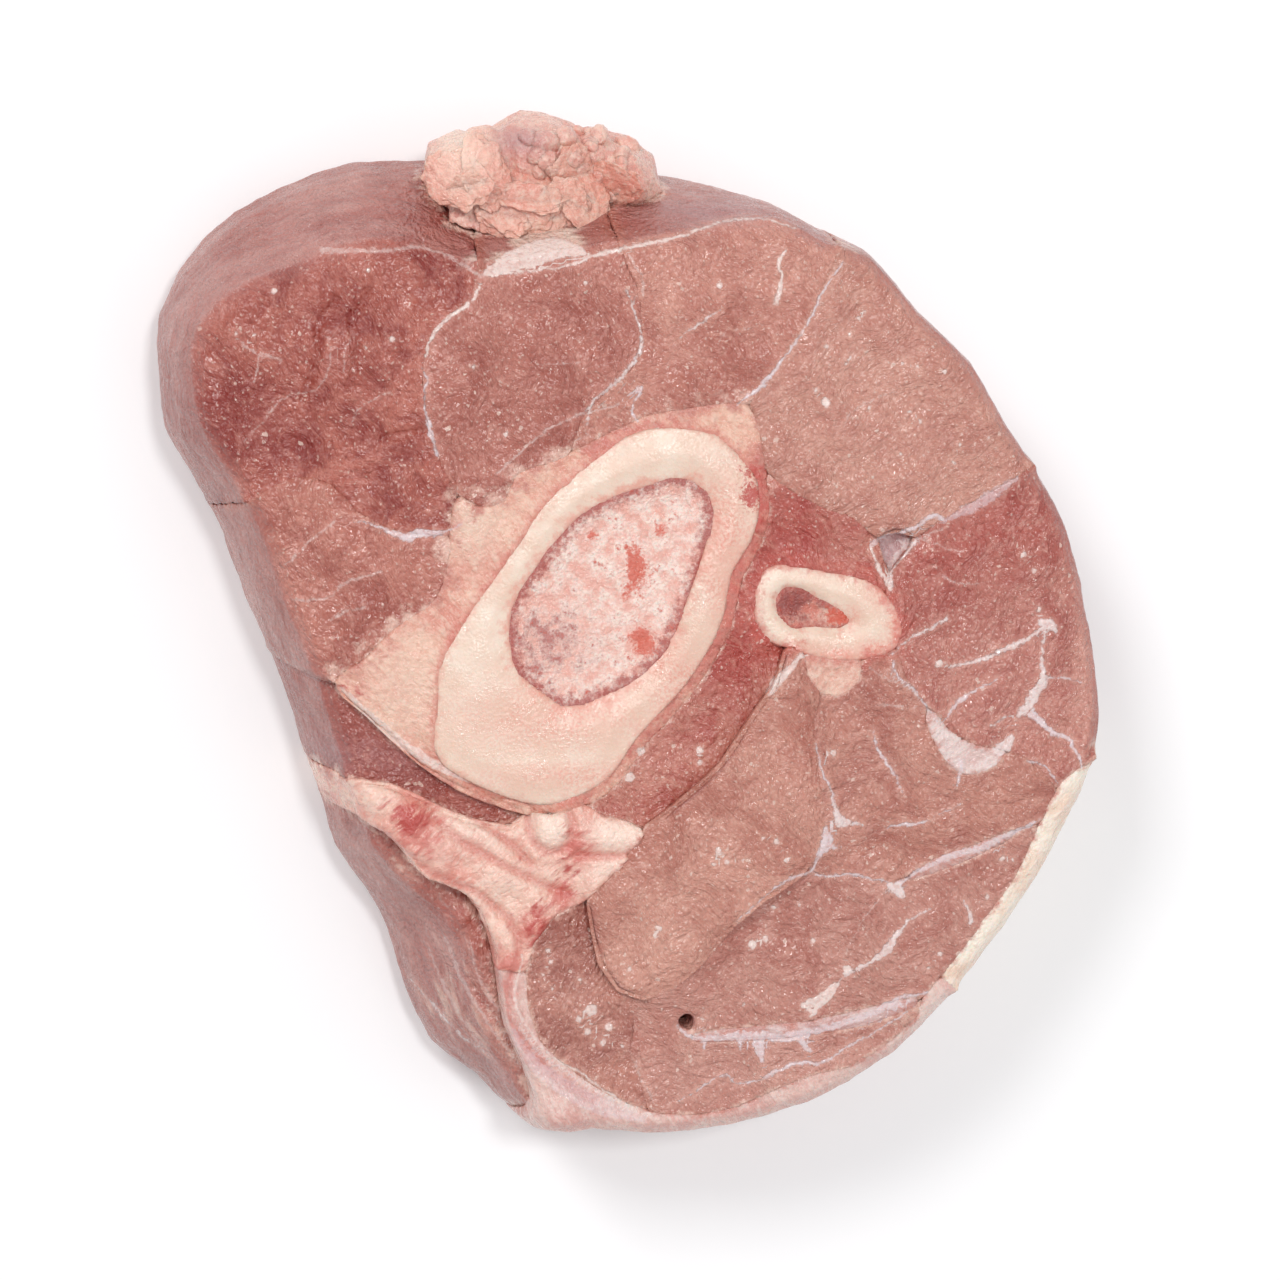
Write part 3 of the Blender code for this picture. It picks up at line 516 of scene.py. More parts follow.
# Single flecks of fat: x, y and width in pixels
FLECKS = (
    (1068, 680, 2), (1064, 683, 2), (1059, 692, 2), (1046, 699, 3), (1060, 705, 2), (1057, 709, 2),
    (1089, 709, 2), (1098, 711, 2), (1113, 713, 3), (1046, 730, 5), (1040, 723, 2), (1071, 733, 2),
    (1094, 736, 2), (1100, 741, 2), (1123, 754, 2), (1139, 751, 2), (1089, 759, 2), (1102, 760, 2),
    (1119, 764, 2), (1052, 927, 4), (1018, 1015, 3), (1033, 1014, 2), (1014, 1033, 4), (1006, 1036, 5),
    (1041, 1035, 3), (1001, 1070, 2), (978, 1078, 2), (1061, 1052, 5), (1151, 991, 3), (1158, 992, 2),
    (1143, 1013, 3), (1115, 1045, 3), (1108, 1053, 2), (914, 1070, 7), (907, 1075, 4), (912, 1083, 4),
    (924, 1081, 5), (921, 1090, 4), (932, 1092, 3), (890, 1036, 3), (891, 1042, 3), (887, 1049, 2),
    (892, 1058, 2), (908, 1053, 2), (985, 980, 4), (982, 987, 3), (989, 986, 3), (1018, 975, 4),
    (1010, 973, 2), (999, 985, 2), (1024, 986, 3), (951, 1023, 4), (949, 1027, 3), (934, 1046, 3),
    (942, 924, 5), (936, 938, 5), (976, 924, 4), (976, 931, 3), (731, 692, 2), (721, 691, 2),
    (805, 694, 3), (791, 698, 2), (849, 709, 2), (867, 746, 3), (911, 664, 3), (986, 665, 4),
    (793, 657, 2), (742, 668, 3), (1161, 817, 3), (1167, 826, 3), (1171, 848, 3), (1113, 878, 5),
)


# %% Zones of other colour
# Deep zones are darker and redder, some of them painted shade; blood zones are bright red, fatty zones have
# a fatty skin, lilac zones a bluish film, one also painted sheen, and pale zones more fat. Each: middle x
# and y, half width and half height in pixels, strength.
ZONES = {
    "deep": {
        # Of the upper left muscle's zones, the two at 718, 735 and 760, 690 are painted shade as well as
        # darker flesh: that corner lies low, in the shadow of the neighbouring slices.
        "muscle_upper_left": (
            (718, 735, 40, 28, 1.0), (760, 690, 60, 50, 0.45), (850, 742, 34, 18, 0.5),
            (800, 660, 60, 20, 0.4)),
        # The zone at 918, 632 here, and those at 935, 632 and 975, 626 of the next muscle, lie along the far
        # edge just below the knob and its flaps: painted shadow of the knob as well as darker flesh.
        "muscle_upper_middle": (
            (885, 690, 60, 45, 0.45), (855, 740, 40, 24, 0.7), (900, 725, 50, 20, 0.4),
            (918, 632, 16, 8, 0.8)),
        "muscle_upper_inner": (
            (975, 715, 50, 30, 0.25), (1000, 690, 30, 40, 0.35), (935, 632, 26, 9, 0.9),
            (975, 626, 30, 7, 0.8)),
        "muscle_between_bones": ((1000, 870, 34, 24, 0.8), (1028, 806, 30, 22, 0.6)),
        "muscle_right": ((1120, 826, 60, 40, 0.7), (1160, 800, 40, 40, 0.4)),
        # The deep zone of muscle_under_bone is partly painted shade of its recess under the bone's lip.
        "muscle_under_bone": ((800, 912, 80, 40, 0.8),),
        "shin_marrow": ((888, 862, 34, 28, 0.75), (905, 835, 20, 16, 0.3)),
        "shin_bone": (
            (895, 902, 56, 20, 0.7), (988, 812, 16, 44, 0.9), (962, 880, 22, 30, 0.7),
            (905, 936, 60, 9, 0.6)),
        "seam_fat": (
            (816, 962, 20, 22, 0.9), (906, 977, 12, 14, 0.8), (897, 1004, 10, 12, 0.9),
            (881, 1022, 14, 16, 0.9), (867, 1043, 14, 16, 0.8), (880, 985, 30, 12, 0.4)),
        "rim_fascia": ((866, 1040, 12, 40, 0.5),),
        "small_bone": (
            (1040, 869, 13, 5, 0.9), (1058, 872, 15, 5, 1.3), (1076, 870, 13, 6, 1.3),
            (1090, 856, 7, 15, 1.4), (1080, 836, 12, 10, 0.7), (1063, 850, 6, 7, 0.6)),
        "small_marrow": ((1028, 842, 14, 12, 1.3), (1044, 840, 8, 6, 0.8)),
        "bone_sheath": ((1000, 850, 22, 60, 0.9), (965, 915, 40, 20, 0.6), (1012, 790, 14, 40, 0.9)),
    },
    "blood": {
        "muscle_between_bones": (
            (1003, 868, 26, 20, 0.7), (1020, 800, 34, 18, 0.5), (1006, 772, 12, 20, 0.9)),
        "muscle_right": ((1105, 815, 40, 24, 0.45), (1140, 800, 44, 22, 0.4)),
        "shin_marrow": (
            (940, 822, 7, 13, 0.8), (943, 862, 9, 9, 1.0), (915, 802, 4, 4, 0.8),
            (954, 800, 4, 4, 0.8), (934, 837, 4, 4, 0.7), (965, 855, 8, 8, 0.5)),
        "shin_bone": ((1004, 781, 7, 9, 0.9), (1003, 768, 8, 10, 0.5)),
        "bone_sheath": ((1010, 770, 14, 30, 0.9), (780, 885, 12, 10, 0.6), (1004, 800, 10, 20, 0.6)),
        "seam_fat": ((812, 958, 12, 10, 1.0), (884, 1020, 10, 20, 0.7), (900, 990, 10, 24, 0.6)),
        "small_marrow": ((1057, 850, 7, 5, 0.9),),
        "rim_fascia": ((864, 1020, 8, 30, 0.8),),
    },
    "fatty": {
        "muscle_upper_left": ((862, 653, 18, 9, 0.9),),
        "side_flap": ((850, 1075, 26, 34, 0.42),),
        "muscle_upper_middle": ((892, 641, 19, 13, 1.3), (870, 653, 14, 8, 1.0)),
        "muscle_upper_right": ((1053, 642, 18, 14, 0.5),),
        "muscle_right": ((1160, 752, 16, 14, 0.5), (1202, 934, 12, 14, 0.9)),
    },
    "lilac": {
        "fat_knob": ((879, 586, 14, 8, 0.9),),
        "muscle_upper_left": ((868, 648, 16, 9, 0.8),),
        "muscle_upper_inner": ((990, 624, 40, 8, 0.4),),
        # The lilac zone of muscle_under_bone stands for a bluish film and, in part, for painted sheen.
        "muscle_under_bone": ((800, 925, 40, 12, 0.5),),
    },
    "pale": {
        "fat_knob": ((846, 592, 15, 22, 1.0),),
        "bone_sheath": ((848, 792, 16, 24, 1.0), (812, 885, 22, 30, 0.6)),
        "muscle_lower": ((1000, 1112, 80, 22, 0.6),),
        "muscle_upper_right": ((1090, 720, 90, 90, 0.45), (1040, 700, 50, 40, 0.3)),
        "muscle_upper_inner": ((958, 680, 8, 20, 0.9), (1030, 650, 40, 20, 0.5)),
        "muscle_tongue": ((960, 1040, 50, 50, 0.6), (1000, 1000, 60, 50, 0.3)),
        "muscle_between_bones": ((950, 930, 40, 30, 0.25), (1020, 890, 16, 16, 0.4)),
        "muscle_lower_left": ((910, 1075, 30, 40, 0.3),),
        "muscle_left": ((790, 870, 30, 20, 0.2), (750, 830, 30, 40, 0.2)),
        "muscle_lower_right": ((1050, 960, 20, 40, 0.3), (1120, 930, 30, 20, 0.3)),
        "muscle_right": ((1150, 890, 50, 50, 0.35), (1197, 880, 8, 60, 0.8)),
        "seam_fat": (
            (892, 965, 13, 11, 1.0), (928, 970, 24, 10, 0.9), (921, 990, 14, 12, 0.7),
            (840, 965, 30, 12, 0.6)),
        "rim_fascia": ((1120, 1080, 18, 16, 1.0),),
    },
}


# %% Lumps and creases
# Lumps: middle x and y, half width and half height in pixels, height in millimetres
LUMPS = {
    "seam_fat": (
        (891, 965, 14, 12, 1.1), (928, 969, 24, 9, 1.0), (921, 991, 14, 12, 0.9), (838, 972, 26, 13, 0.9),
        (813, 957, 10, 9, 0.9), (862, 992, 16, 10, 0.7), (882, 1012, 9, 16, 0.6), (868, 1048, 7, 14, 0.7),
        (770, 940, 30, 10, 0.6)),
    "side_flap": ((842, 1020, 7, 10, 1.0), (849, 1038, 5, 7, 0.8), (830, 1050, 8, 20, 0.5)),
    "rim_fascia": ((862, 1076, 9, 8, 0.9), (897, 1128, 14, 12, 0.8), (960, 1136, 20, 6, 0.5)),
    "bone_sheath": ((846, 782, 14, 16, 0.5), (800, 880, 20, 24, 0.5)),
    "muscle_upper_left": ((785, 700, 22, 26, 0.6), (745, 720, 14, 20, -0.4), (825, 735, 30, 16, 0.5)),
    "muscle_upper_middle": ((890, 690, 40, 30, 0.5),),
    "muscle_left": ((775, 812, 24, 14, 0.5), (790, 860, 20, 20, -0.4)),
    "muscle_lower_left": ((905, 1068, 12, 14, 0.4),),
}

# Points along each crease, in pixels
CREASES = {
    "seam_fat": (
        ((878, 956), (880, 970), (890, 979), (901, 975), (903, 962), (899, 953)),
        ((905, 981), (918, 982), (934, 981), (949, 972)),
        ((808, 976), (826, 990), (848, 1000), (868, 1018), (874, 1036)),
        ((826, 958), (842, 972), (862, 984), (884, 996), (900, 1003)),
        ((848, 958), (866, 972), (880, 985)),
        ((890, 1030), (880, 1046), (872, 1066)),
    ),
    "rim_fascia": (((872, 1040), (866, 1058), (868, 1074), (878, 1092), (894, 1108), (916, 1122)),),
    "side_flap": (
        ((840, 1034), (849, 1058), (863, 1080), (878, 1100)),
        ((831, 1040), (839, 1064), (855, 1090), (868, 1108)),
    ),
    "muscle_upper_left": (
        ((757, 726), (764, 706), (766, 686), (776, 672)),
        ((782, 720), (786, 700), (784, 684), (794, 668)),
        ((800, 748), (826, 742), (850, 734), (866, 726)),
    ),
}
# How far a crease reaches to each side of its middle, and how deep it is, in millimetres
CREASE_WIDTH = 1.0
CREASE_DEPTH = 0.6


# %% Storing lines and zones in a piece
# Pixels between the points of a rounded line, share of the given width that is drawn, and the reach of a
# line in millimetres
LINE_STEP = 2.0
LINE_SHARE = 0.85
LINE_REACH = 5.0


def on_slice(x, y):
    """Turns a place in the photograph into millimetres on the slice."""
    return ((x - PHOTO_MIDDLE[0]) * PIXEL, (PHOTO_MIDDLE[1] - y) * PIXEL)


def rounded_line(points, widths):
    """Points and half widths along a smooth line through the given points, in millimetres."""
    given = np.array([on_slice(*p) for p in points])
    before = np.vstack([2 * given[0] - given[1], given[:-1]])
    after = np.vstack([given[1:], 2 * given[-1] - given[-2]])
    slope = (after - before) / 2
    rows = []
    for i in range(len(given) - 1):
        count = max(2, int(np.linalg.norm(given[i + 1] - given[i]) / (LINE_STEP * PIXEL)))
        for t in np.arange(count) / count:
            a, b, c = 2 * t**3 - 3 * t**2 + 1, t**3 - 2 * t**2 + t, t**3 - t**2
            rows.append(a * given[i] + b * slope[i] + (1 - a) * given[i + 1] + c * slope[i + 1])
    rows.append(given[-1])
    share = np.linspace(0, 1, len(rows))
    half = np.interp(share, np.linspace(0, 1, len(widths)), widths) * PIXEL / 2 * LINE_SHARE
    return np.array(rows), half


DRAWN = [(*rounded_line(points, widths), look) for look, widths, points in LINES.values()]
for x, y, width in FLECKS:
    spot = np.array([on_slice(x, y)])
    DRAWN.append((spot, np.array([width * PIXEL / 2]), CREAM))
print("lines and flecks:", len(DRAWN))


def store(piece, name, values):
    """Keeps one number, or a triple of numbers, for each point of a piece."""
    kind = "FLOAT" if values.ndim == 1 else "FLOAT_VECTOR"
    layer = piece.data.attributes.new(name, kind, "POINT")
    layer.data.foreach_set("value" if kind == "FLOAT" else "vector", values.astype(np.float32).ravel())


def nearest_on_line(flat, line, half):
    """Nearest place on a line to each plan point, and the line's half width there."""
    if len(line) == 1:
        return np.repeat(line, len(flat), 0), np.repeat(half, len(flat))
    start, run = line[:-1], line[1:] - line[:-1]
    length = (run**2).sum(1)
    share = ((flat[:, None] - start) * run).sum(2) / length
    share = np.clip(share, 0, 1)
    feet = start + share[..., None] * run
    nearest = ((flat[:, None] - feet) ** 2).sum(2).argmin(1)
    rows = np.arange(len(flat))
    at = share[rows, nearest]
    return feet[rows, nearest], half[:-1][nearest] * (1 - at) + half[1:][nearest] * at


def store_lines(piece):
    """Stores for each point how far the nearest line's edge is, its middle and half width, and its look."""
    flat = places(piece)[:, :2]
    edge = np.full(len(flat), LINE_REACH)
    foot = np.zeros((len(flat), 3))
    looks = np.zeros((len(flat), 3))
    for line, half, look in DRAWN:
        low, high = line.min(0) - LINE_REACH, line.max(0) + LINE_REACH
        near = np.nonzero(((flat > low) & (flat < high)).all(1))[0]
        if not len(near):
            continue
        feet, halves = nearest_on_line(flat[near], line, half)
        gap = np.linalg.norm(flat[near] - feet, axis=1) - halves
        better = gap < edge[near]
        chosen = near[better]
        edge[chosen] = gap[better]
        foot[chosen, :2] = feet[better]
        foot[chosen, 2] = halves[better]
        looks[chosen] = look
    store(piece, "line_gap", edge)
    store(piece, "line_foot", foot)
    store(piece, "line_look", looks)
    return edge


def zone_amount(flat, zones):
    """Strength of soft oval zones at plan points."""
    amount = np.zeros(len(flat))
    for x, y, wide, high, strength in zones:
        middle = np.array(on_slice(x, y))
        reach = ((flat - middle) / (np.array([wide, high]) * PIXEL)) ** 2
        amount = np.maximum(amount, strength * np.exp(-reach.sum(1)))
    return amount


def crease_amount(flat, creases):
    """How near plan points are to the middle of a crease, from 0 to 1."""
    amount = np.zeros(len(flat))
    for points in creases:
        line, _ = rounded_line(points, (1, 1))
        middle, _ = nearest_on_line(flat, line, np.zeros(len(line)))
        apart = np.linalg.norm(flat - middle, axis=1)
        amount = np.maximum(amount, 1.0 - smooth_step(0.0, CREASE_WIDTH, apart))
    return amount


def store_zones(piece, name):
    """Stores for each point how strongly it lies in each kind of zone of a node."""
    flat = places(piece)[:, :2]
    for kind, zones in ZONES.items():
        store(piece, kind, zone_amount(flat, zones.get(name, ())))


# %% [markdown]
# ## Making every piece
# Each solid is now given its relief and its measures: how near meat, fat, bone and marrow are, how far it
# belongs to the outer side, and the lines and zones of the cut face, which run through to the underside as
# the muscles do. The lines stand a tenth of a millimetre proud, because sinew shrinks less than muscle.

# %% Measures of the relief
# In millimetres: the squares of the even mesh, how far the flesh swells, and how high a line's ridge stands
EVEN_MESH = 0.46
SWELL = 0.15
RIDGE = 0.12
# How far from a line's edge its ridge falls off
RIDGE_EDGE = (-0.1, 0.35)

# Relief in millimetres: height of the lumps of 7 mm, of 2.4 mm and of 0.9 mm
RELIEF = {
    "bone": (0.15, 0.12, 0.05),
    "marrow": (0.3, 0.45, 0.25),
    "dark_meat": (0.5, 0.40, 0.14),
    "meat": (0.5, 0.38, 0.13),
    "pale_meat": (0.4, 0.32, 0.12),
    "fat": (0.5, 0.55, 0.20),
    "yellow_fat": (0.4, 0.45, 0.15),
    "fascia": (0.3, 0.25, 0.10),
}
SIZES = (7.0, 2.4, 0.9)
# Pieces with more relief than others of their kind, and how far it cuts in instead of standing out
ROUGHER = {"fat_knob": (1.2, 0.6), "seam_fat": (1.7, 0.5), "rim_fascia": (1.4, 0.6), "side_flap": (1.3, 0.5)}
PLAIN_RELIEF = (1.0, 0.5)
SIDE_RELIEF = 0.8

# Where relief and measures fade in: by height in millimetres, by the gap to the neighbours, and by how far
# the surface faces up, from 0 on a wall to 1 on a level face
OPEN_SIDE = (0.9, 2.2)
OFF_TABLE = (0.5, 3.0)
LUMP_HEIGHT = (12.0, 20.0)
FACING_UP = (0.2, 0.7)
LUMP_FACING = (0.3, 0.8)
LEVEL_FACING = (0.55, 0.85)

# %% Kinds of neighbour
KINDS = ("meat", "fat", "bone", "marrow")
# In millimetres: how far neighbours are looked for, what is kept where there is none, and how much of the
# way to a neighbour is the groove itself
KIND_REACH = 6.0
KIND_FAR = 9.0
GROOVE_MOUTH = 1.0
slots = {row["node"]: row["material_slot"] for row in frame["record"]["subparts"]}


def kind_of(name):
    """Meat, fat, bone or marrow."""
    if name == "small_marrow":
        return "marrow"
    kinds = {"dark_meat": "meat", "pale_meat": "meat", "yellow_fat": "fat", "fascia": "fat"}
    return kinds.get(slots[name], slots[name])


KIND_TREES = {}
for kind in KINDS:
    alike = [name for name in frame["nodes"] if kind_of(name) == kind]
    KIND_TREES[kind] = solids_tree(alike)
    print("solids of", kind + ":", len(alike))


def store_kinds(piece, node_name, gaps):
    """Stores how far each point is from the nearest solid of each kind that isn't its own."""
    spots = places(piece)
    near = np.nonzero(gaps < KIND_REACH)[0]
    for kind, tree in KIND_TREES.items():
        apart = np.full(len(gaps), KIND_FAR)
        if kind != kind_of(node_name):
            apart[near] = gap_to_others(spots[near], tree, KIND_REACH)[0]
        store(piece, "near_" + kind, np.maximum(apart - GROOVE_MOUTH, 0.0))


# %% Relief of a piece
def roughen(piece, node_name, gaps):
    """Adds relief to the cut face and, more weakly, to the side. Gives for each point how far it faces up,
    and how far it belongs to the side and to the top."""
    heights = places(piece)[:, 2]
    up = ways(piece)[:, 2]
    side = smooth_step(*OPEN_SIDE, gaps) * (1.0 - smooth_step(*LEVEL_FACING, np.abs(up)))
    top = smooth_step(*TOP_ZONE, heights) * smooth_step(*FACING_UP, up)
    off_table = smooth_step(*OFF_TABLE, heights)
    weigh(piece, "relief", np.maximum(top, side * SIDE_RELIEF * off_table))
    more, level = ROUGHER.get(node_name, PLAIN_RELIEF)
    for cloud, height in zip(SIZES, RELIEF[slots[node_name]]):
        push(piece, clouds(f"clouds_{cloud}", cloud, 1), height * more, "relief", level)
    return up, side, top


def carve(piece, node_name, up, top):
    """Adds the ridges of the lines, the lumps and the creases, and keeps the piece above the table."""
    spots = places(piece)
    edge = store_lines(piece)
    spots[:, 2] += RIDGE * top * (1.0 - smooth_step(*RIDGE_EDGE, edge))
    upward = smooth_step(*LUMP_FACING, up) * smooth_step(*LUMP_HEIGHT, spots[:, 2])
    for x, y, wide, high, height in LUMPS.get(node_name, ()):
        spots[:, 2] += upward * height * zone_amount(spots[:, :2], [(x, y, wide, high, 1.0)])
    crease = crease_amount(spots[:, :2], CREASES.get(node_name, ())) * upward
    spots[:, 2] -= CREASE_DEPTH * crease
    store(piece, "crease", crease)
    spots[:, 2] = np.maximum(spots[:, 2], 0.0)
    put_places(piece, spots)


# %% Make a piece from its solid
def soft_piece(node_name):
    """The rounded, uneven piece that stands for one solid."""
    piece = merged_copy(node_name + "_flesh", node_name)
    modify(piece, "REMESH", mode="VOXEL", voxel_size=EVEN_MESH * MM, adaptivity=0.0)
    modify(piece, "SMOOTH", factor=0.5, iterations=2)
    others = solids_tree([name for name in frame["nodes"] if name != node_name])
    gaps, toward = gap_to_others(places(piece), others)
    store_kinds(piece, node_name, gaps)
    join_seams(piece, node_name, gaps, toward)
    modify(piece, "SMOOTH", factor=0.5, iterations=1)
    modify(piece, "DISPLACE", mid_level=0.0, strength=SWELL * MM)
    up, side, top = roughen(piece, node_name, gaps)
    carve(piece, node_name, up, top)
    store(piece, "side", side)
    store(piece, "outer", 1.0 - smooth_step(*LEVEL_FACING, np.abs(up)))
    store(piece, "height", smooth_step(*TOP_ZONE, places(piece)[:, 2]))
    store_zones(piece, node_name)
    piece.vertex_groups.clear()
    only(piece)
    bpy.ops.object.shade_smooth()
    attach(piece, "root")
    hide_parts(node_name)
    print(node_name, len(piece.data.polygons) * 2, "triangles")
    return piece


pieces = {name: soft_piece(name) for name in frame["nodes"]}
print("triangles in all:", sum(len(p.data.polygons) * 2 for p in pieces.values()))

# %% [markdown]
# ## Shader parts
# The finishes share three effects, each a node group: the grain of cut flesh, the drawn lines of sinew, and
# the ragged edge where one kind of tissue passes into another. A group is built once and placed in each
# material with its own values, so meat and fat agree on where a line or a border runs.

# %% Helpers for shader nodes
def make(tree, kind, feeds=None, **settings):
    """Adds a node. Feeds are values or sockets for its inputs, by name or number."""
    node = tree.nodes.new("ShaderNode" + kind)
    for name, value in settings.items():
        setattr(node, name, value)
    for name, feed in (feeds or {}).items():
        if isinstance(feed, bpy.types.NodeSocket):
            tree.links.new(feed, node.inputs[name])
        else:
            node.inputs[name].default_value = feed
    return node


def calc(tree, operation, *values):
    """A Math node's result."""
    return make(tree, "Math", dict(enumerate(values)), operation=operation).outputs[0]


def times(tree, value, share):
    """A value times a share."""
    return calc(tree, "MULTIPLY", value, share)


def stirred(tree, pattern, amount, value):
    """A value moved up and down by a pattern that runs from 0 to 1."""
    return calc(tree, "MULTIPLY_ADD", calc(tree, "SUBTRACT", pattern, 0.5), amount, value)


def ramp(tree, value, low, high, start=0.0, end=1.0):
    """Follows a value smoothly from start at low to end at high."""
    feeds = {0: value, 1: low, 2: high, 3: start, 4: end}
    return make(tree, "MapRange", feeds, interpolation_type="SMOOTHSTEP").outputs[0]


def vector_calc(tree, operation, *values):
    """A Vector Math node's vector."""
    return make(tree, "VectorMath", dict(enumerate(values)), operation=operation).outputs[0]


def scaled(tree, vector, factor):
    """A vector made longer or shorter."""
    return make(tree, "VectorMath", {0: vector, 3: factor}, operation="SCALE").outputs[0]


def parts(tree, vector):
    """The x, y and z of a vector."""
    return make(tree, "SeparateXYZ", {0: vector}).outputs


# %% Patterns and layers
def noise(tree, where, scale, detail=2.0, rough=0.5):
    """A Noise Texture's pattern, which runs from 0 to 1."""
    feeds = {"Vector": where, "Scale": scale, "Detail": detail, "Roughness": rough}
    return make(tree, "TexNoise", feeds).outputs["Fac"]


def cells(tree, where, scale):
    """A Voronoi Texture's round cells: the distance from their middles, and their colours."""
    return make(tree, "TexVoronoi", {"Vector": where, "Scale": scale}, feature="F1").outputs


def wandering(tree, place, scale, reach):
    """A place moved about by smooth noise, so that patterns on it bend."""
    sway = make(tree, "TexNoise", {"Vector": place, "Scale": scale, "Detail": 1.0}).outputs["Color"]
    away = scaled(tree, vector_calc(tree, "SUBTRACT", sway, (0.5, 0.5, 0.5)), reach)
    return vector_calc(tree, "ADD", place, away)


def turned(tree, place, angle):
    """A place turned about the upright axis."""
    feeds = {"Vector": place, "Angle": angle}
    return make(tree, "VectorRotate", feeds, rotation_type="Z_AXIS").outputs[0]


def attribute(tree, name):
    """What a piece has stored for its points: its outputs."""
    return make(tree, "Attribute", attribute_name=name).outputs


def kept(tree, name, share=1.0):
    """A stored number of the piece, times a share."""
    return times(tree, attribute(tree, name)["Fac"], share)


def mixed(tree, share, first, second):
    """A Mix node's colour."""
    return make(tree, "Mix", {0: share, 6: first, 7: second}, data_type="RGBA").outputs[2]


def layered(tree, colour, layers):
    """A colour with others laid over it, each given by how much of it shows and what it is."""
    for share, tint in layers:
        colour = mixed(tree, share, colour, tint)
    return colour


# %% Helpers for groups
def new_group(name, **numbers):
    """A group that takes a place and named numbers: its tree, and what it is given."""
    tree = bpy.data.node_groups.new(name, "ShaderNodeTree")
    tree.interface.new_socket("Place", in_out="INPUT", socket_type="NodeSocketVector")
    for socket, value in numbers.items():
        made = tree.interface.new_socket(socket, in_out="INPUT", socket_type="NodeSocketFloat")
        made.default_value = value
    return tree, tree.nodes.new("NodeGroupInput").outputs


def give_out(tree, sockets):
    """Makes numbers inside a group its outputs."""
    for name in sockets:
        tree.interface.new_socket(name, in_out="OUTPUT", socket_type="NodeSocketFloat")
    out = tree.nodes.new("NodeGroupOutput")
    for name, socket in sockets.items():
        tree.links.new(socket, out.inputs[name])
    print("group:", tree.name, "with", len(tree.nodes), "nodes, gives", ", ".join(sockets))


# %% Group: grain of cut flesh
# How fine the pattern is along the direction in which the strokes lie, across it, and upright
GRAIN_STRETCH = (0.45, 1.0, 0.8)


def grain_group():
    """Where pale strokes, dots, flecks and threads show, how mottled the flesh is, and its fine relief. The
    dots are pale grains and painted glints.
    """
    tree, given = new_group("grain of cut flesh", Turn=0.0)
    bent = wandering(tree, given["Place"], 0.13, 9.0)
    near = wandering(tree, given["Place"], 1.1, 0.7)
    along = vector_calc(tree, "MULTIPLY", turned(tree, bent, given["Turn"]), GRAIN_STRETCH)
    fine = noise(tree, along, 3.0, 2.0, 0.6)
    patch = noise(tree, bent, 0.30, 2.0)
    # Pale grains that also stand as painted moist glints: the middles of some cells, more of them where the
    # flesh is richer
    grains = cells(tree, near, 1.2)
    chance = parts(tree, grains["Color"])
    lit = calc(tree, "GREATER_THAN", calc(tree, "MULTIPLY_ADD", patch, 1.4, chance[0]), 1.28)
    dots = times(tree, ramp(tree, grains["Distance"], 0.08, 0.30, 1.0, 0.0), lit)
    # Flecks: larger middles with a rough edge, each patch with its own size
    size = ramp(tree, noise(tree, bent, 0.40, 1.0), 0.50, 0.72, 0.0, 0.24)
    fleck = calc(tree, "SUBTRACT", size, cells(tree, near, 0.62)["Distance"])
    # Threads: the level lines of a slow pattern, where the flesh is richer
    levels = calc(tree, "FRACT", times(tree, noise(tree, bent, 0.10, 1.0), 7.0))
    level = calc(tree, "ABSOLUTE", calc(tree, "SUBTRACT", levels, 0.5))
    threads = times(tree, ramp(tree, level, 0.0, 0.07, 1.0, 0.0), ramp(tree, patch, 0.45, 0.62))
    soft = noise(tree, along, 0.9, 3.0, 0.6)
    height = calc(tree, "MULTIPLY_ADD", grains["Distance"], -0.50, times(tree, soft, 1.3))
    height = calc(tree, "MULTIPLY_ADD", chance[1], 0.10, height)
    give_out(tree, {
        "Strokes": ramp(tree, noise(tree, along, 0.95, 4.0, 0.62), 0.48, 0.70),
        "Dots_and_glints": dots,
        "Flecks": ramp(tree, stirred(tree, fine, 0.35, fleck), -0.02, 0.05),
        "Threads": threads,
        "Mottle": noise(tree, bent, 0.13, 4.0, 0.6),
        "Height": calc(tree, "MULTIPLY_ADD", fine, 0.30, height),
    })
    return tree


grain_tree = grain_group()


def grain_nodes(tree, place, turn):
    """The grain placed in a material, with its fibres turned by some degrees: its outputs."""
    feeds = {"Place": place, "Turn": math.radians(turn)}
    return make(tree, "Group", feeds, node_tree=grain_tree).outputs


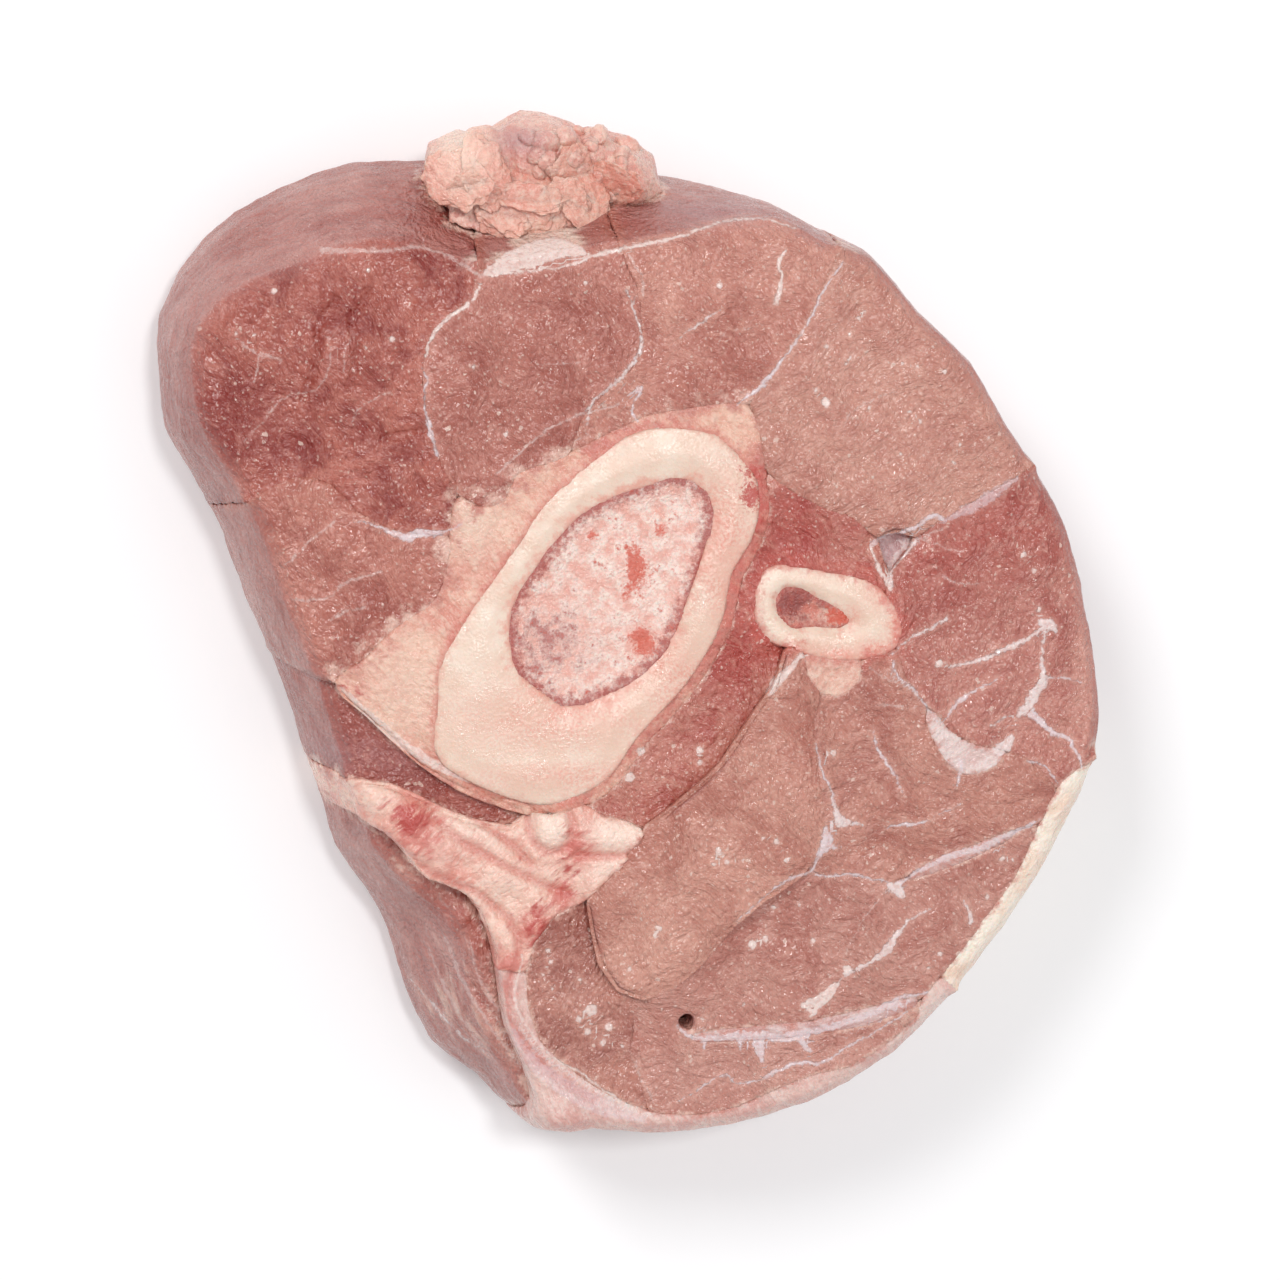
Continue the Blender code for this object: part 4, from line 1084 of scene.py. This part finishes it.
# %% Group: lines of sinew
def line_group():
    """How strongly a line and the pale halo beside it show, and how lilac the line is."""
    tree, given = new_group("lines of sinew")
    place = given["Place"]
    foot_x, foot_y, half_width = parts(tree, attribute(tree, "line_foot")["Vector"])
    lilac, strength, frayed = parts(tree, attribute(tree, "line_look")["Vector"])
    x, y, _ = parts(tree, wandering(tree, place, 0.8, 0.8))
    dx = calc(tree, "SUBTRACT", x, foot_x)
    dy = calc(tree, "SUBTRACT", y, foot_y)
    far = calc(tree, "SQRT", calc(tree, "MULTIPLY_ADD", dx, dx, calc(tree, "MULTIPLY", dy, dy)))
    gap = calc(tree, "SUBTRACT", far, half_width)
    fray = calc(tree, "SUBTRACT", noise(tree, place, 1.9, 4.0, 0.7), 0.47)
    gap = calc(tree, "MULTIPLY_ADD", fray, times(tree, frayed, 2.2), gap)
    near = ramp(tree, attribute(tree, "line_gap")["Fac"], 0.7, 1.3, 1.0, 0.0)
    core = times(tree, ramp(tree, gap, -0.16, 0.12, 1.0, 0.0), near)
    broken = ramp(tree, noise(tree, place, 1.3, 3.0, 0.6), 0.34, 0.56, 0.60, 1.0)
    glow = times(tree, ramp(tree, gap, 0.0, 0.9, 0.35, 0.0), near)
    give_out(tree, {
        "Line": times(tree, times(tree, core, strength), broken),
        "Halo": times(tree, glow, strength),
        "Lilac": lilac,
    })
    return tree


line_tree = line_group()


def line_nodes(tree, place):
    """The lines placed in a material: their outputs."""
    return make(tree, "Group", {"Place": place}, node_tree=line_tree).outputs


# %% Group: ragged edge
# Borders of fat and meat: half width in millimetres, how far they wander, and how fine
PLAIN_EDGE = (0.35, 2.0, 0.7)
SOFT_EDGE = (1.3, 10.0, 0.42)
SIDE_EDGE = (0.6, 9.0, 0.35)


def ragged_group():
    """The share of a neighbour's colour, from the gap to it: 1 near it, and 0 far away."""
    tree, given = new_group("ragged edge", Gap=1.0, Reach=1.0, Fray=2.0, Scale=0.8, Out=0.0)
    rough = noise(tree, given["Place"], given["Scale"], 4.0, 0.65)
    edge = calc(tree, "SUBTRACT", stirred(tree, rough, given["Fray"], given["Gap"]), given["Out"])
    inner = times(tree, given["Reach"], -1.0)
    give_out(tree, {"Share": ramp(tree, edge, inner, given["Reach"], 1.0, 0.0)})
    return tree


ragged_tree = ragged_group()


def ragged(tree, place, name, reach, fray, scale, out=0.0):
    """Share of a neighbour's colour, from a stored gap: how softly it ends, how ragged, how fine, and how
    many millimetres out. Two neighbours whose frays are opposite numbers meet along one meandering border:
    where the one reaches out, the other draws back."""
    gap = attribute(tree, name)["Fac"]
    feeds = {"Place": place, "Gap": gap, "Reach": reach, "Fray": fray, "Scale": scale, "Out": out}
    return make(tree, "Group", feeds, node_tree=ragged_tree).outputs["Share"]


def border(tree, place, name, edge, sign):
    """A common border of meat and fat: neat on the cut face, torn wider on the outer side."""
    face, outer = [
        ragged(tree, place, name, reach, sign * fray, fine) for reach, fray, fine in (edge, SIDE_EDGE)
    ]
    return calc(tree, "MULTIPLY_ADD", calc(tree, "SUBTRACT", face, outer), kept(tree, "height"), outer)


# %% [markdown]
# ## Meat
# Cut muscle is a brownish pink of fine fibre ends. Short pale strokes of fat lie in one direction within
# each muscle, deeper zones are redder where less air has reached them, and the outer side is covered by a
# thin dull pink skin. Some deep zones, the creases and small dark spots are painted shade, and some pale
# grains are painted glints. Low, uneven roughness over the relief gives the small moist sparks. A plain red
# would look like plastic.

# %% Start and end of every finish
# How far red, green and blue light travels in flesh, in millimetres, and how moisture shines
SCATTER_REACH = (1.0, 0.35, 0.25)
MOIST_IOR = 1.45
MOIST_SHINE = 0.9


def new_finish(name, scatter):
    """A material with its shader, and the place on the piece in millimetres."""
    material = bpy.data.materials.new(name)
    material.use_nodes = True
    tree = material.node_tree
    shader = tree.nodes["Principled BSDF"]
    shader.inputs["Subsurface Weight"].default_value = scatter
    shader.inputs["Subsurface Radius"].default_value = SCATTER_REACH
    shader.inputs["Subsurface Scale"].default_value = 1.0 * MM
    shader.inputs["IOR"].default_value = MOIST_IOR
    shader.inputs["Specular IOR Level"].default_value = MOIST_SHINE
    place = scaled(tree, make(tree, "TexCoord").outputs["Object"], 1.0 / MM)
    return material, tree, shader, place


def end_finish(tree, shader, colour, wet, height, distance, strength):
    """Joins colour, moisture and relief to the shader."""
    tree.links.new(colour, shader.inputs["Base Color"])
    tree.links.new(wet, shader.inputs["Roughness"])
    bump = make(tree, "Bump", {"Height": height, "Distance": distance * MM, "Strength": strength})
    tree.links.new(bump.outputs[0], shader.inputs["Normal"])


# %% Colours that the finishes share
def rgb(red, green, blue):
    """A colour from how it looks on screen, 0 to 255, as linear light."""
    return (*[((v / 255 + 0.055) / 1.055) ** 2.4 for v in (red, green, blue)], 1.0)


WHITE_SINEW = rgb(234, 214, 206)
LILAC_SINEW = rgb(218, 198, 202)
# Pale fat of the flecks; the same colour paints the moist glints of the grain
FAT_FLECK_AND_GLINT = rgb(226, 194, 180)
EDGE_FAT = rgb(224, 182, 166)
BLOOD = rgb(180, 58, 50)
RAW_RED = rgb(200, 96, 84)
SKIN_DEEP = rgb(158, 84, 76)
SKIN_PALE = rgb(202, 150, 140)
SKIN_FAT = rgb(226, 196, 180)
SKIN_LILAC = rgb(178, 134, 136)


# %% Outer skin of the slice
def skin_over(tree, place, colour):
    """The thin skin on the outer side: a torn film over the colour of the meat, drawn round the slice."""
    flat = vector_calc(tree, "MULTIPLY", wandering(tree, place, 0.07, 9.0), (0.10, 0.10, 0.40))
    streaks = noise(tree, flat, 1.0, 6.0, 0.68)
    cloud = noise(tree, place, 0.07, 5.0, 0.65)
    film = calc(tree, "MULTIPLY_ADD", streaks, 0.5, times(tree, cloud, 0.5))
    torn = stirred(tree, streaks, 1.6, kept(tree, "fatty"))
    skin = layered(tree, SKIN_DEEP, (
        (ramp(tree, film, 0.38, 0.64, 0.15, 0.75), SKIN_PALE),
        # Deep zones darken the skin too, in part as painted shade
        (kept(tree, "deep", 0.75), SKIN_DEEP),
        (ramp(tree, torn, 0.25, 0.60, 0.0, 0.95), SKIN_FAT),
        # Lilac zones on the skin, one of them partly painted sheen
        (kept(tree, "lilac"), SKIN_LILAC),
    ))
    covered = times(tree, kept(tree, "side"), ramp(tree, cloud, 0.30, 0.55, 0.55, 0.95))
    patch = times(tree, kept(tree, "fatty"), kept(tree, "outer"))
    covered = calc(tree, "MAXIMUM", covered, ramp(tree, patch, 0.2, 0.6))
    return mixed(tree, covered, colour, skin), streaks


# %% Meat finish
def meat_finish(name, base, deep, pale, turn, edge):
    """Cut muscle: mottled, with deep, pale and bloody zones, marks of fat, skin on its side, and lines;
    painted shade in its creases, small dark spots and some deep zones, and painted glints among its pale
    grains.
    """
    material, tree, shader, place = new_finish(name, 0.15)
    grain = grain_nodes(tree, place, turn)
    lines = line_nodes(tree, place)
    # Small dark spots of noise: painted shade of tiny hollows in the cut face
    painted_pit_shade = ramp(tree, noise(tree, place, 1.5, 3.0, 0.6), 0.36, 0.50, 0.34, 0.0)
    bone_edge = ragged(tree, place, "near_bone", 1.2, 5.0, 0.5, 0.9)
    colour = layered(tree, deep, (
        (ramp(tree, grain["Mottle"], 0.34, 0.62), base),
        # Deep zones: darker, redder flesh, and in some zones painted shade
        (kept(tree, "deep", 0.85), deep),
        (kept(tree, "pale", 0.7), pale),
        # Lilac zones: a bluish film, and under the bone partly painted sheen
        (kept(tree, "lilac", 0.5), SKIN_LILAC),
        (kept(tree, "blood", 0.6), BLOOD),
        # Painted shade in the creases, which the relief also presses in
        (kept(tree, "crease", 0.35), deep),
        (times(tree, grain["Strokes"], 0.42), pale),
        (times(tree, grain["Threads"], 0.36), pale),
        (painted_pit_shade, deep),
        (times(tree, bone_edge, 0.55), RAW_RED),
        (border(tree, place, "near_fat", edge, 1.0), EDGE_FAT),
        # Pale grains and painted moist glints
        (times(tree, grain["Dots_and_glints"], 0.58), FAT_FLECK_AND_GLINT),
        (times(tree, grain["Flecks"], 0.75), FAT_FLECK_AND_GLINT),
    ))
    colour, streaks = skin_over(tree, place, colour)
    sinew = mixed(tree, lines["Lilac"], WHITE_SINEW, LILAC_SINEW)
    colour = layered(tree, colour, ((lines["Halo"], pale), (times(tree, lines["Line"], 0.95), sinew)))
    smoother = ramp(tree, lines["Line"], 0.0, 0.8, 1.0, 0.4)
    relief = calc(tree, "MULTIPLY_ADD", lines["Line"], 0.3, times(tree, grain["Height"], smoother))
    relief = calc(tree, "MULTIPLY_ADD", times(tree, streaks, kept(tree, "side")), 1.2, relief)
    wet = ramp(tree, noise(tree, place, 0.5, 3.0), 0.38, 0.62, 0.13, 0.34)
    end_finish(tree, shader, colour, wet, relief, 0.5, 1.0)
    return material


# Muscles whose border with the fat round the bone is soft
SOFT_EDGED = ("muscle_upper_left", "muscle_upper_middle", "muscle_left", "muscle_upper_inner")
# Base, deep and pale colour on screen, and the direction of the fibres in degrees
MUSCLES = {
    # The upper left muscle's very dark deep colour is partly painted shade of its low corner.
    "muscle_upper_left": ((184, 105, 89), (136, 43, 34), (208, 140, 124), 55),
    "muscle_upper_middle": ((190, 122, 107), (158, 82, 69), (214, 155, 140), 75),
    "muscle_upper_inner": ((196, 132, 116), (170, 97, 83), (218, 161, 143), 30),
    "muscle_upper_right": ((194, 134, 117), (174, 103, 88), (218, 166, 149), -35),
    "muscle_right": ((190, 122, 107), (162, 76, 65), (216, 161, 146), -65),
    "muscle_lower_right": ((190, 127, 110), (166, 95, 81), (218, 165, 149), 20),
    "muscle_tongue": ((198, 137, 120), (174, 103, 87), (222, 170, 151), 45),
    "muscle_between_bones": ((188, 118, 103), (164, 65, 56), (216, 155, 137), 50),
    "muscle_lower": ((194, 136, 121), (174, 106, 92), (220, 168, 153), 25),
    "muscle_lower_left": ((186, 123, 107), (154, 84, 71), (218, 163, 146), -60),
    "muscle_left": ((188, 117, 101), (156, 76, 63), (214, 155, 139), 70),
    "muscle_under_bone": ((176, 100, 88), (146, 66, 56), (206, 141, 127), 10),
    "side_flap": ((190, 128, 114), (170, 93, 81), (218, 166, 154), -70),
}
for name, (base, deep, pale, turn) in MUSCLES.items():
    edge = SOFT_EDGE if name in SOFT_EDGED else PLAIN_EDGE
    finish = meat_finish(name + "_finish", rgb(*base), rgb(*deep), rgb(*pale), turn, edge)
    pieces[name].data.materials.append(finish)
print("muscles finished:", len(MUSCLES))

# %% [markdown]
# ## Bone, marrow, fat and sinew
# Sawn bone is smooth ivory with porous pink patches where it is spongy. Marrow is a paste of pale grains
# with spots of blood and a dark rim. Fat is waxy cream, pink where it is thin over meat, in soft strands.

# %% Bone finish
IVORY = rgb(233, 212, 194)
IVORY_SHADE = rgb(227, 197, 177)
SPONGY = rgb(220, 148, 130)

# Colour that neighbours give the bone's edges: softness, raggedness, fineness, width, share and colour
BONE_EDGES = (
    ("near_fat", 0.5, 3.2, 0.8, 0.3, 0.4, SPONGY),
    ("near_meat", 0.6, 3.0, 0.8, 0.5, 0.7, RAW_RED),
    ("near_marrow", 0.7, 4.5, 0.7, 0.6, 0.75, SPONGY),
)


def bone_finish(name):
    """Sawn bone: ivory, spongy and pink in its deep zones, with a tinted rim and spots of blood."""
    material, tree, shader, place = new_finish(name, 0.20)
    cloud = noise(tree, place, 0.22, 3.0)
    grit = noise(tree, place, 2.4, 3.0, 0.65)
    pores = cells(tree, place, 1.5)["Distance"]
    patchy = times(tree, kept(tree, "deep"), ramp(tree, cloud, 0.34, 0.56))
    colour = layered(tree, IVORY_SHADE, (
        (ramp(tree, cloud, 0.35, 0.7), IVORY),
        (kept(tree, "deep", 0.50), SPONGY),
        (times(tree, patchy, ramp(tree, grit, 0.42, 0.60)), SPONGY),
    ))
    for beside, soft, fray, fine, out, share, tint in BONE_EDGES:
        edge = times(tree, ragged(tree, place, beside, soft, fray, fine, out), share)
        colour = mixed(tree, edge, colour, tint)
    blood = stirred(tree, grit, 1.6, kept(tree, "blood"))
    colour = mixed(tree, ramp(tree, blood, 0.25, 0.75, 0.0, 0.9), colour, BLOOD)
    relief = calc(tree, "MULTIPLY_ADD", times(tree, pores, kept(tree, "deep")), 0.8, grit)
    wet = ramp(tree, noise(tree, place, 0.5, 2.0), 0.40, 0.62, 0.14, 0.38)
    end_finish(tree, shader, colour, wet, relief, 0.2, 0.5)
    return material


for name in ("shin_bone", "small_bone"):
    pieces[name].data.materials.append(bone_finish(name + "_finish"))
    print(name, "finished")

# %% Marrow finish
MARROW_SPOT = rgb(212, 92, 68)


def marrow_finish(name, pale, pink, rim, deep, rim_width):
    """Marrow: a paste of pale and pink grains, darker in its deep zones, with spots of blood and a rim."""
    material, tree, shader, place = new_finish(name, 0.25)
    cloud = noise(tree, place, 0.45, 5.0, 0.6)
    grain = noise(tree, place, 2.6, 3.0, 0.6)
    domes = cells(tree, wandering(tree, place, 0.9, 1.0), 1.5)["Distance"]
    depth = stirred(tree, grain, 1.0, stirred(tree, cloud, 3.2, kept(tree, "deep")))
    spots = stirred(tree, cloud, 2.2, stirred(tree, grain, 1.2, kept(tree, "blood")))
    edge = ragged(tree, place, "near_bone", 0.7, 3.6, 1.1, rim_width)
    colour = layered(tree, pink, (
        (ramp(tree, cloud, 0.36, 0.60), pale),
        (ramp(tree, domes, 0.40, 0.80, 0.0, 0.35), pink),
        (ramp(tree, grain, 0.58, 0.70, 0.0, 0.35), pink),
        (ramp(tree, depth, 0.25, 1.15, 0.0, 0.85), deep),
        (times(tree, edge, 0.85), rim),
        (ramp(tree, spots, 0.22, 0.72, 0.0, 0.9), MARROW_SPOT),
    ))
    relief = calc(tree, "MULTIPLY_ADD", domes, -0.6, calc(tree, "ADD", grain, cloud))
    wet = ramp(tree, cloud, 0.40, 0.62, 0.15, 0.38)
    end_finish(tree, shader, colour, wet, relief, 0.5, 0.7)
    return material


# Pale and pink paste, the colour beside the bone and of the deep zones, and how wide the rim is
MARROWS = {
    "shin_marrow": (((247, 225, 213), (235, 178, 163), (168, 66, 58), (176, 94, 88)), 0.65),
    "small_marrow": (((230, 184, 166), (206, 122, 106), (176, 84, 74), (134, 36, 36)), 0.2),
}
for name, (colours, rim_width) in MARROWS.items():
    finish = marrow_finish(name + "_finish", *[rgb(*colour) for colour in colours], rim_width)
    pieces[name].data.materials.append(finish)
    print(name, "finished")

# %% Fat and sinew finish
MEAT_SHOWING = rgb(196, 128, 114)


def fat_finish(name, base, pink, light, turn, stretch, edge):
    """Fat or a sheet of sinew: soft strands, pink where it is thin, raw in its creases and at the bone."""
    material, tree, shader, place = new_finish(name, 0.22)
    lines = line_nodes(tree, place)
    along = turned(tree, wandering(tree, place, 0.12, 3.0), math.radians(turn))
    fibre = noise(tree, vector_calc(tree, "MULTIPLY", along, (stretch, 1.0, 0.6)), 1.1, 5.0, 0.6)
    grit = noise(tree, place, 2.6, 2.0, 0.6)
    lumps = cells(tree, wandering(tree, place, 0.9, 1.0), 1.1)["Distance"]
    cloud = noise(tree, place, 0.13, 4.0, 0.55)
    deep = stirred(tree, fibre, 2.2, kept(tree, "deep"))
    blood = stirred(tree, fibre, 2.0, kept(tree, "blood"))
    bone_edge = ragged(tree, place, "near_bone", 0.5, 2.6, 0.8, 0.4)
    sinew = mixed(tree, lines["Lilac"], WHITE_SINEW, LILAC_SINEW)
    colour = layered(tree, pink, (
        (ramp(tree, cloud, 0.34, 0.60), base),
        (ramp(tree, fibre, 0.46, 0.66, 0.0, 0.6), light),
        (ramp(tree, fibre, 0.34, 0.48, 0.40, 0.0), pink),
        (kept(tree, "pale", 0.9), light),
        (kept(tree, "lilac", 0.8), SKIN_LILAC),
        (kept(tree, "crease", 0.55), RAW_RED),
        (ramp(tree, deep, 0.25, 0.9, 0.0, 0.8), RAW_RED),
        (ramp(tree, blood, 0.35, 0.9, 0.0, 0.85), BLOOD),
        (border(tree, place, "near_meat", edge, -1.0), MEAT_SHOWING),
        (times(tree, bone_edge, 0.5), RAW_RED),
        (times(tree, lines["Line"], 0.8), sinew),
    ))
    relief = calc(tree, "MULTIPLY_ADD", grit, 0.30, fibre)
    relief = calc(tree, "MULTIPLY_ADD", lumps, -0.5, relief)
    wet = ramp(tree, fibre, 0.40, 0.62, 0.18, 0.40)
    end_finish(tree, shader, colour, wet, relief, 0.45, 0.8)
    return material


# Base, pink and light colour on screen, direction of the strands and their stretch
FATS = {
    "bone_sheath": ((226, 178, 156), (214, 143, 125), (233, 200, 180), 40, 0.5),
    "seam_fat": ((236, 194, 176), (220, 148, 132), (243, 218, 202), -40, 0.4),
    "fat_lobe": ((232, 192, 172), (216, 158, 140), (240, 212, 194), 0, 0.8),
    "fat_knob": ((230, 184, 168), (216, 150, 136), (238, 210, 192), 0, 0.9),
    "rim_fascia": ((222, 186, 175), (212, 160, 150), (232, 208, 198), 60, 0.4),
    "rim_fat": ((243, 229, 212), (234, 203, 181), (246, 234, 221), -50, 0.4),
    "right_fat": ((222, 198, 192), (206, 164, 156), (234, 218, 212), -30, 0.3),
    "junction_fascia": ((190, 152, 152), (170, 120, 118), (214, 184, 182), 60, 0.3),
    "middle_sheet": ((208, 172, 164), (194, 142, 132), (226, 206, 200), 30, 0.3),
    "lower_sheet": ((208, 172, 166), (194, 142, 134), (226, 206, 202), 0, 0.3),
}
for name, (base, pink, light, turn, stretch) in FATS.items():
    edge = SOFT_EDGE if name == "bone_sheath" else PLAIN_EDGE
    finish = fat_finish(name + "_finish", rgb(*base), rgb(*pink), rgb(*light), turn, stretch, edge)
    pieces[name].data.materials.append(finish)
print("fat and sinew finished:", len(FATS))

# %% [markdown]
# ## Crumbs and flaps of the knob
# The fat on the far side has been torn, not cut: it ends in crumbs and in thin ragged flaps that throw a
# small shadow. One crumb and one flap are modelled as uneven balls, then copied, each turned and sized its
# own way, and laid on the knob. Relief alone would keep the knob's edges smooth.

# %% Measures of the crumbs and flaps
CRUMB_COUNT = 34
# The crumbly part of the knob, from left to right in the photograph, and how high and level it is
CRUMB_PLACE = (882, 948)
CRUMBS_ABOVE = 12.0
CRUMB_FACING = 0.4
# Radii in millimetres: of a crumb from the least to the greatest, and of a flap, long, wide and thick
CRUMB_SIZE = (0.8, 2.2)
CRUMB_WIDTH = (0.6, 1.0)
CRUMB_HEIGHT = (0.5, 0.8)
FLAP_SIZE = (5.0, 3.6, 0.4)
FLAP_VARIES = (0.8, 1.2)
FLAP_LIFT = 0.35
FLAP_COLOURS = ((231, 172, 153), (218, 146, 129), (240, 202, 184))
# Where the flaps lie in the photograph
FLAPS = (
    (842, 608), (851, 617), (863, 620), (875, 624), (887, 626), (899, 624), (911, 618), (922, 610),
    (856, 604), (884, 612), (904, 606),
)
# Crumbs and flaps are turned by any angle up to this, in radians
TURN = (0, 6.3)
# Heights at which the photograph's places are sought: on the cut face, and else on the knob
CUT_LEVEL = 32.0
KNOB_LEVEL = 24.0
DRAW_SEED = 7

# %% Laying uneven balls on the knob
knob = pieces["fat_knob"]
knob_tree = BVHTree.FromPolygons(places(knob).tolist(), [list(p.vertices) for p in knob.data.polygons])


def seen_at(x, y, tree):
    """The place that shows at a pixel of the photograph, and which way its surface faces."""
    eye = EYE / MM
    spot, normal, _, _ = tree.ray_cast(eye, Vector((*on_slice(x, y), CUT_LEVEL)) - eye)
    if spot is None:
        spot, normal, _, _ = tree.find_nearest(Vector((*on_slice(x, y), KNOB_LEVEL)))
    return spot, normal


def uneven_ball(name, rounds, lump, height):
    """A ball of 1 mm radius whose skin has lumps of a size and a height in millimetres."""
    bpy.ops.object.select_all(action="DESELECT")
    bpy.ops.mesh.primitive_ico_sphere_add(subdivisions=rounds, radius=1.0 * MM)
    ball = bpy.context.object
    ball.name = name
    modify(ball, "DISPLACE", texture=clouds(f"clouds_{lump}", lump, 2), mid_level=0.5, strength=height * MM)
    print("modelled a", name, "of", len(ball.data.polygons), "triangles")
    return ball


def laid_copy(ball, spot, normal, turn, size):
    """A copy of a ball, flattened along the normal and laid on a place."""
    copy = bpy.data.objects.new(ball.name, ball.data.copy())
    bpy.context.scene.collection.objects.link(copy)
    stand = normal.to_track_quat("Z", "Y").to_matrix().to_4x4()
    grown = Matrix.Diagonal((*size, 1.0))
    copy.data.transform(Matrix.Translation(spot * MM) @ stand @ Matrix.Rotation(turn, 4, "Z") @ grown)
    return copy


def joined(copies, name, finish):
    """Copies made one piece, which carries the attributes that the fat finish reads."""
    bpy.ops.object.select_all(action="DESELECT")
    for copy in copies:
        copy.select_set(True)
    bpy.context.view_layer.objects.active = copies[0]
    bpy.ops.object.join()
    piece = bpy.context.object
    piece.name = name
    count = len(piece.data.vertices)
    for kind in KINDS:
        store(piece, "near_" + kind, np.full(count, KIND_FAR))
    store(piece, "line_gap", np.full(count, LINE_REACH))
    store_zones(piece, "fat_knob")
    piece.data.materials.append(finish)
    bpy.ops.object.shade_smooth()
    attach(piece, "root")
    print(name, len(piece.data.polygons), "triangles")


# %% Crumbs of the knob
chance = np.random.default_rng(DRAW_SEED)
crumb = uneven_ball("crumb", 3, 1.0, 0.9)
flap = uneven_ball("flap", 5, 0.5, 0.75)
knob_spots, knob_ways = places(knob), ways(knob)
crumb_from, crumb_to = [on_slice(x, 0)[0] for x in CRUMB_PLACE]
crumbly = (knob_spots[:, 0] > crumb_from) & (knob_spots[:, 0] < crumb_to) & (knob_spots[:, 2] > CRUMBS_ABOVE)
open_air = np.nonzero(crumbly & (knob_ways[:, 2] > CRUMB_FACING))[0]
crumbs = []
for i in chance.choice(open_air, CRUMB_COUNT, replace=False).tolist():
    long = chance.uniform(*CRUMB_SIZE)
    size = (long, long * chance.uniform(*CRUMB_WIDTH), long * chance.uniform(*CRUMB_HEIGHT))
    spot, way = Vector(knob_spots[i].tolist()), Vector(knob_ways[i].tolist())
    crumbs.append(laid_copy(crumb, spot, way, chance.uniform(*TURN), size))

# %% Flaps of the knob
flaps = []
for x, y in FLAPS:
    spot, normal = seen_at(x, y, knob_tree)
    size = [side * chance.uniform(*FLAP_VARIES) for side in FLAP_SIZE]
    flaps.append(laid_copy(flap, spot + normal * FLAP_LIFT, normal, chance.uniform(*TURN), size))
flap_finish = fat_finish("knob_flaps_finish", *[rgb(*colour) for colour in FLAP_COLOURS], 0, 0.9, PLAIN_EDGE)
joined(crumbs, "knob_crumbs", knob.data.materials[0])
joined(flaps, "knob_flaps", flap_finish)
for ball in (crumb, flap):
    bpy.data.objects.remove(ball)
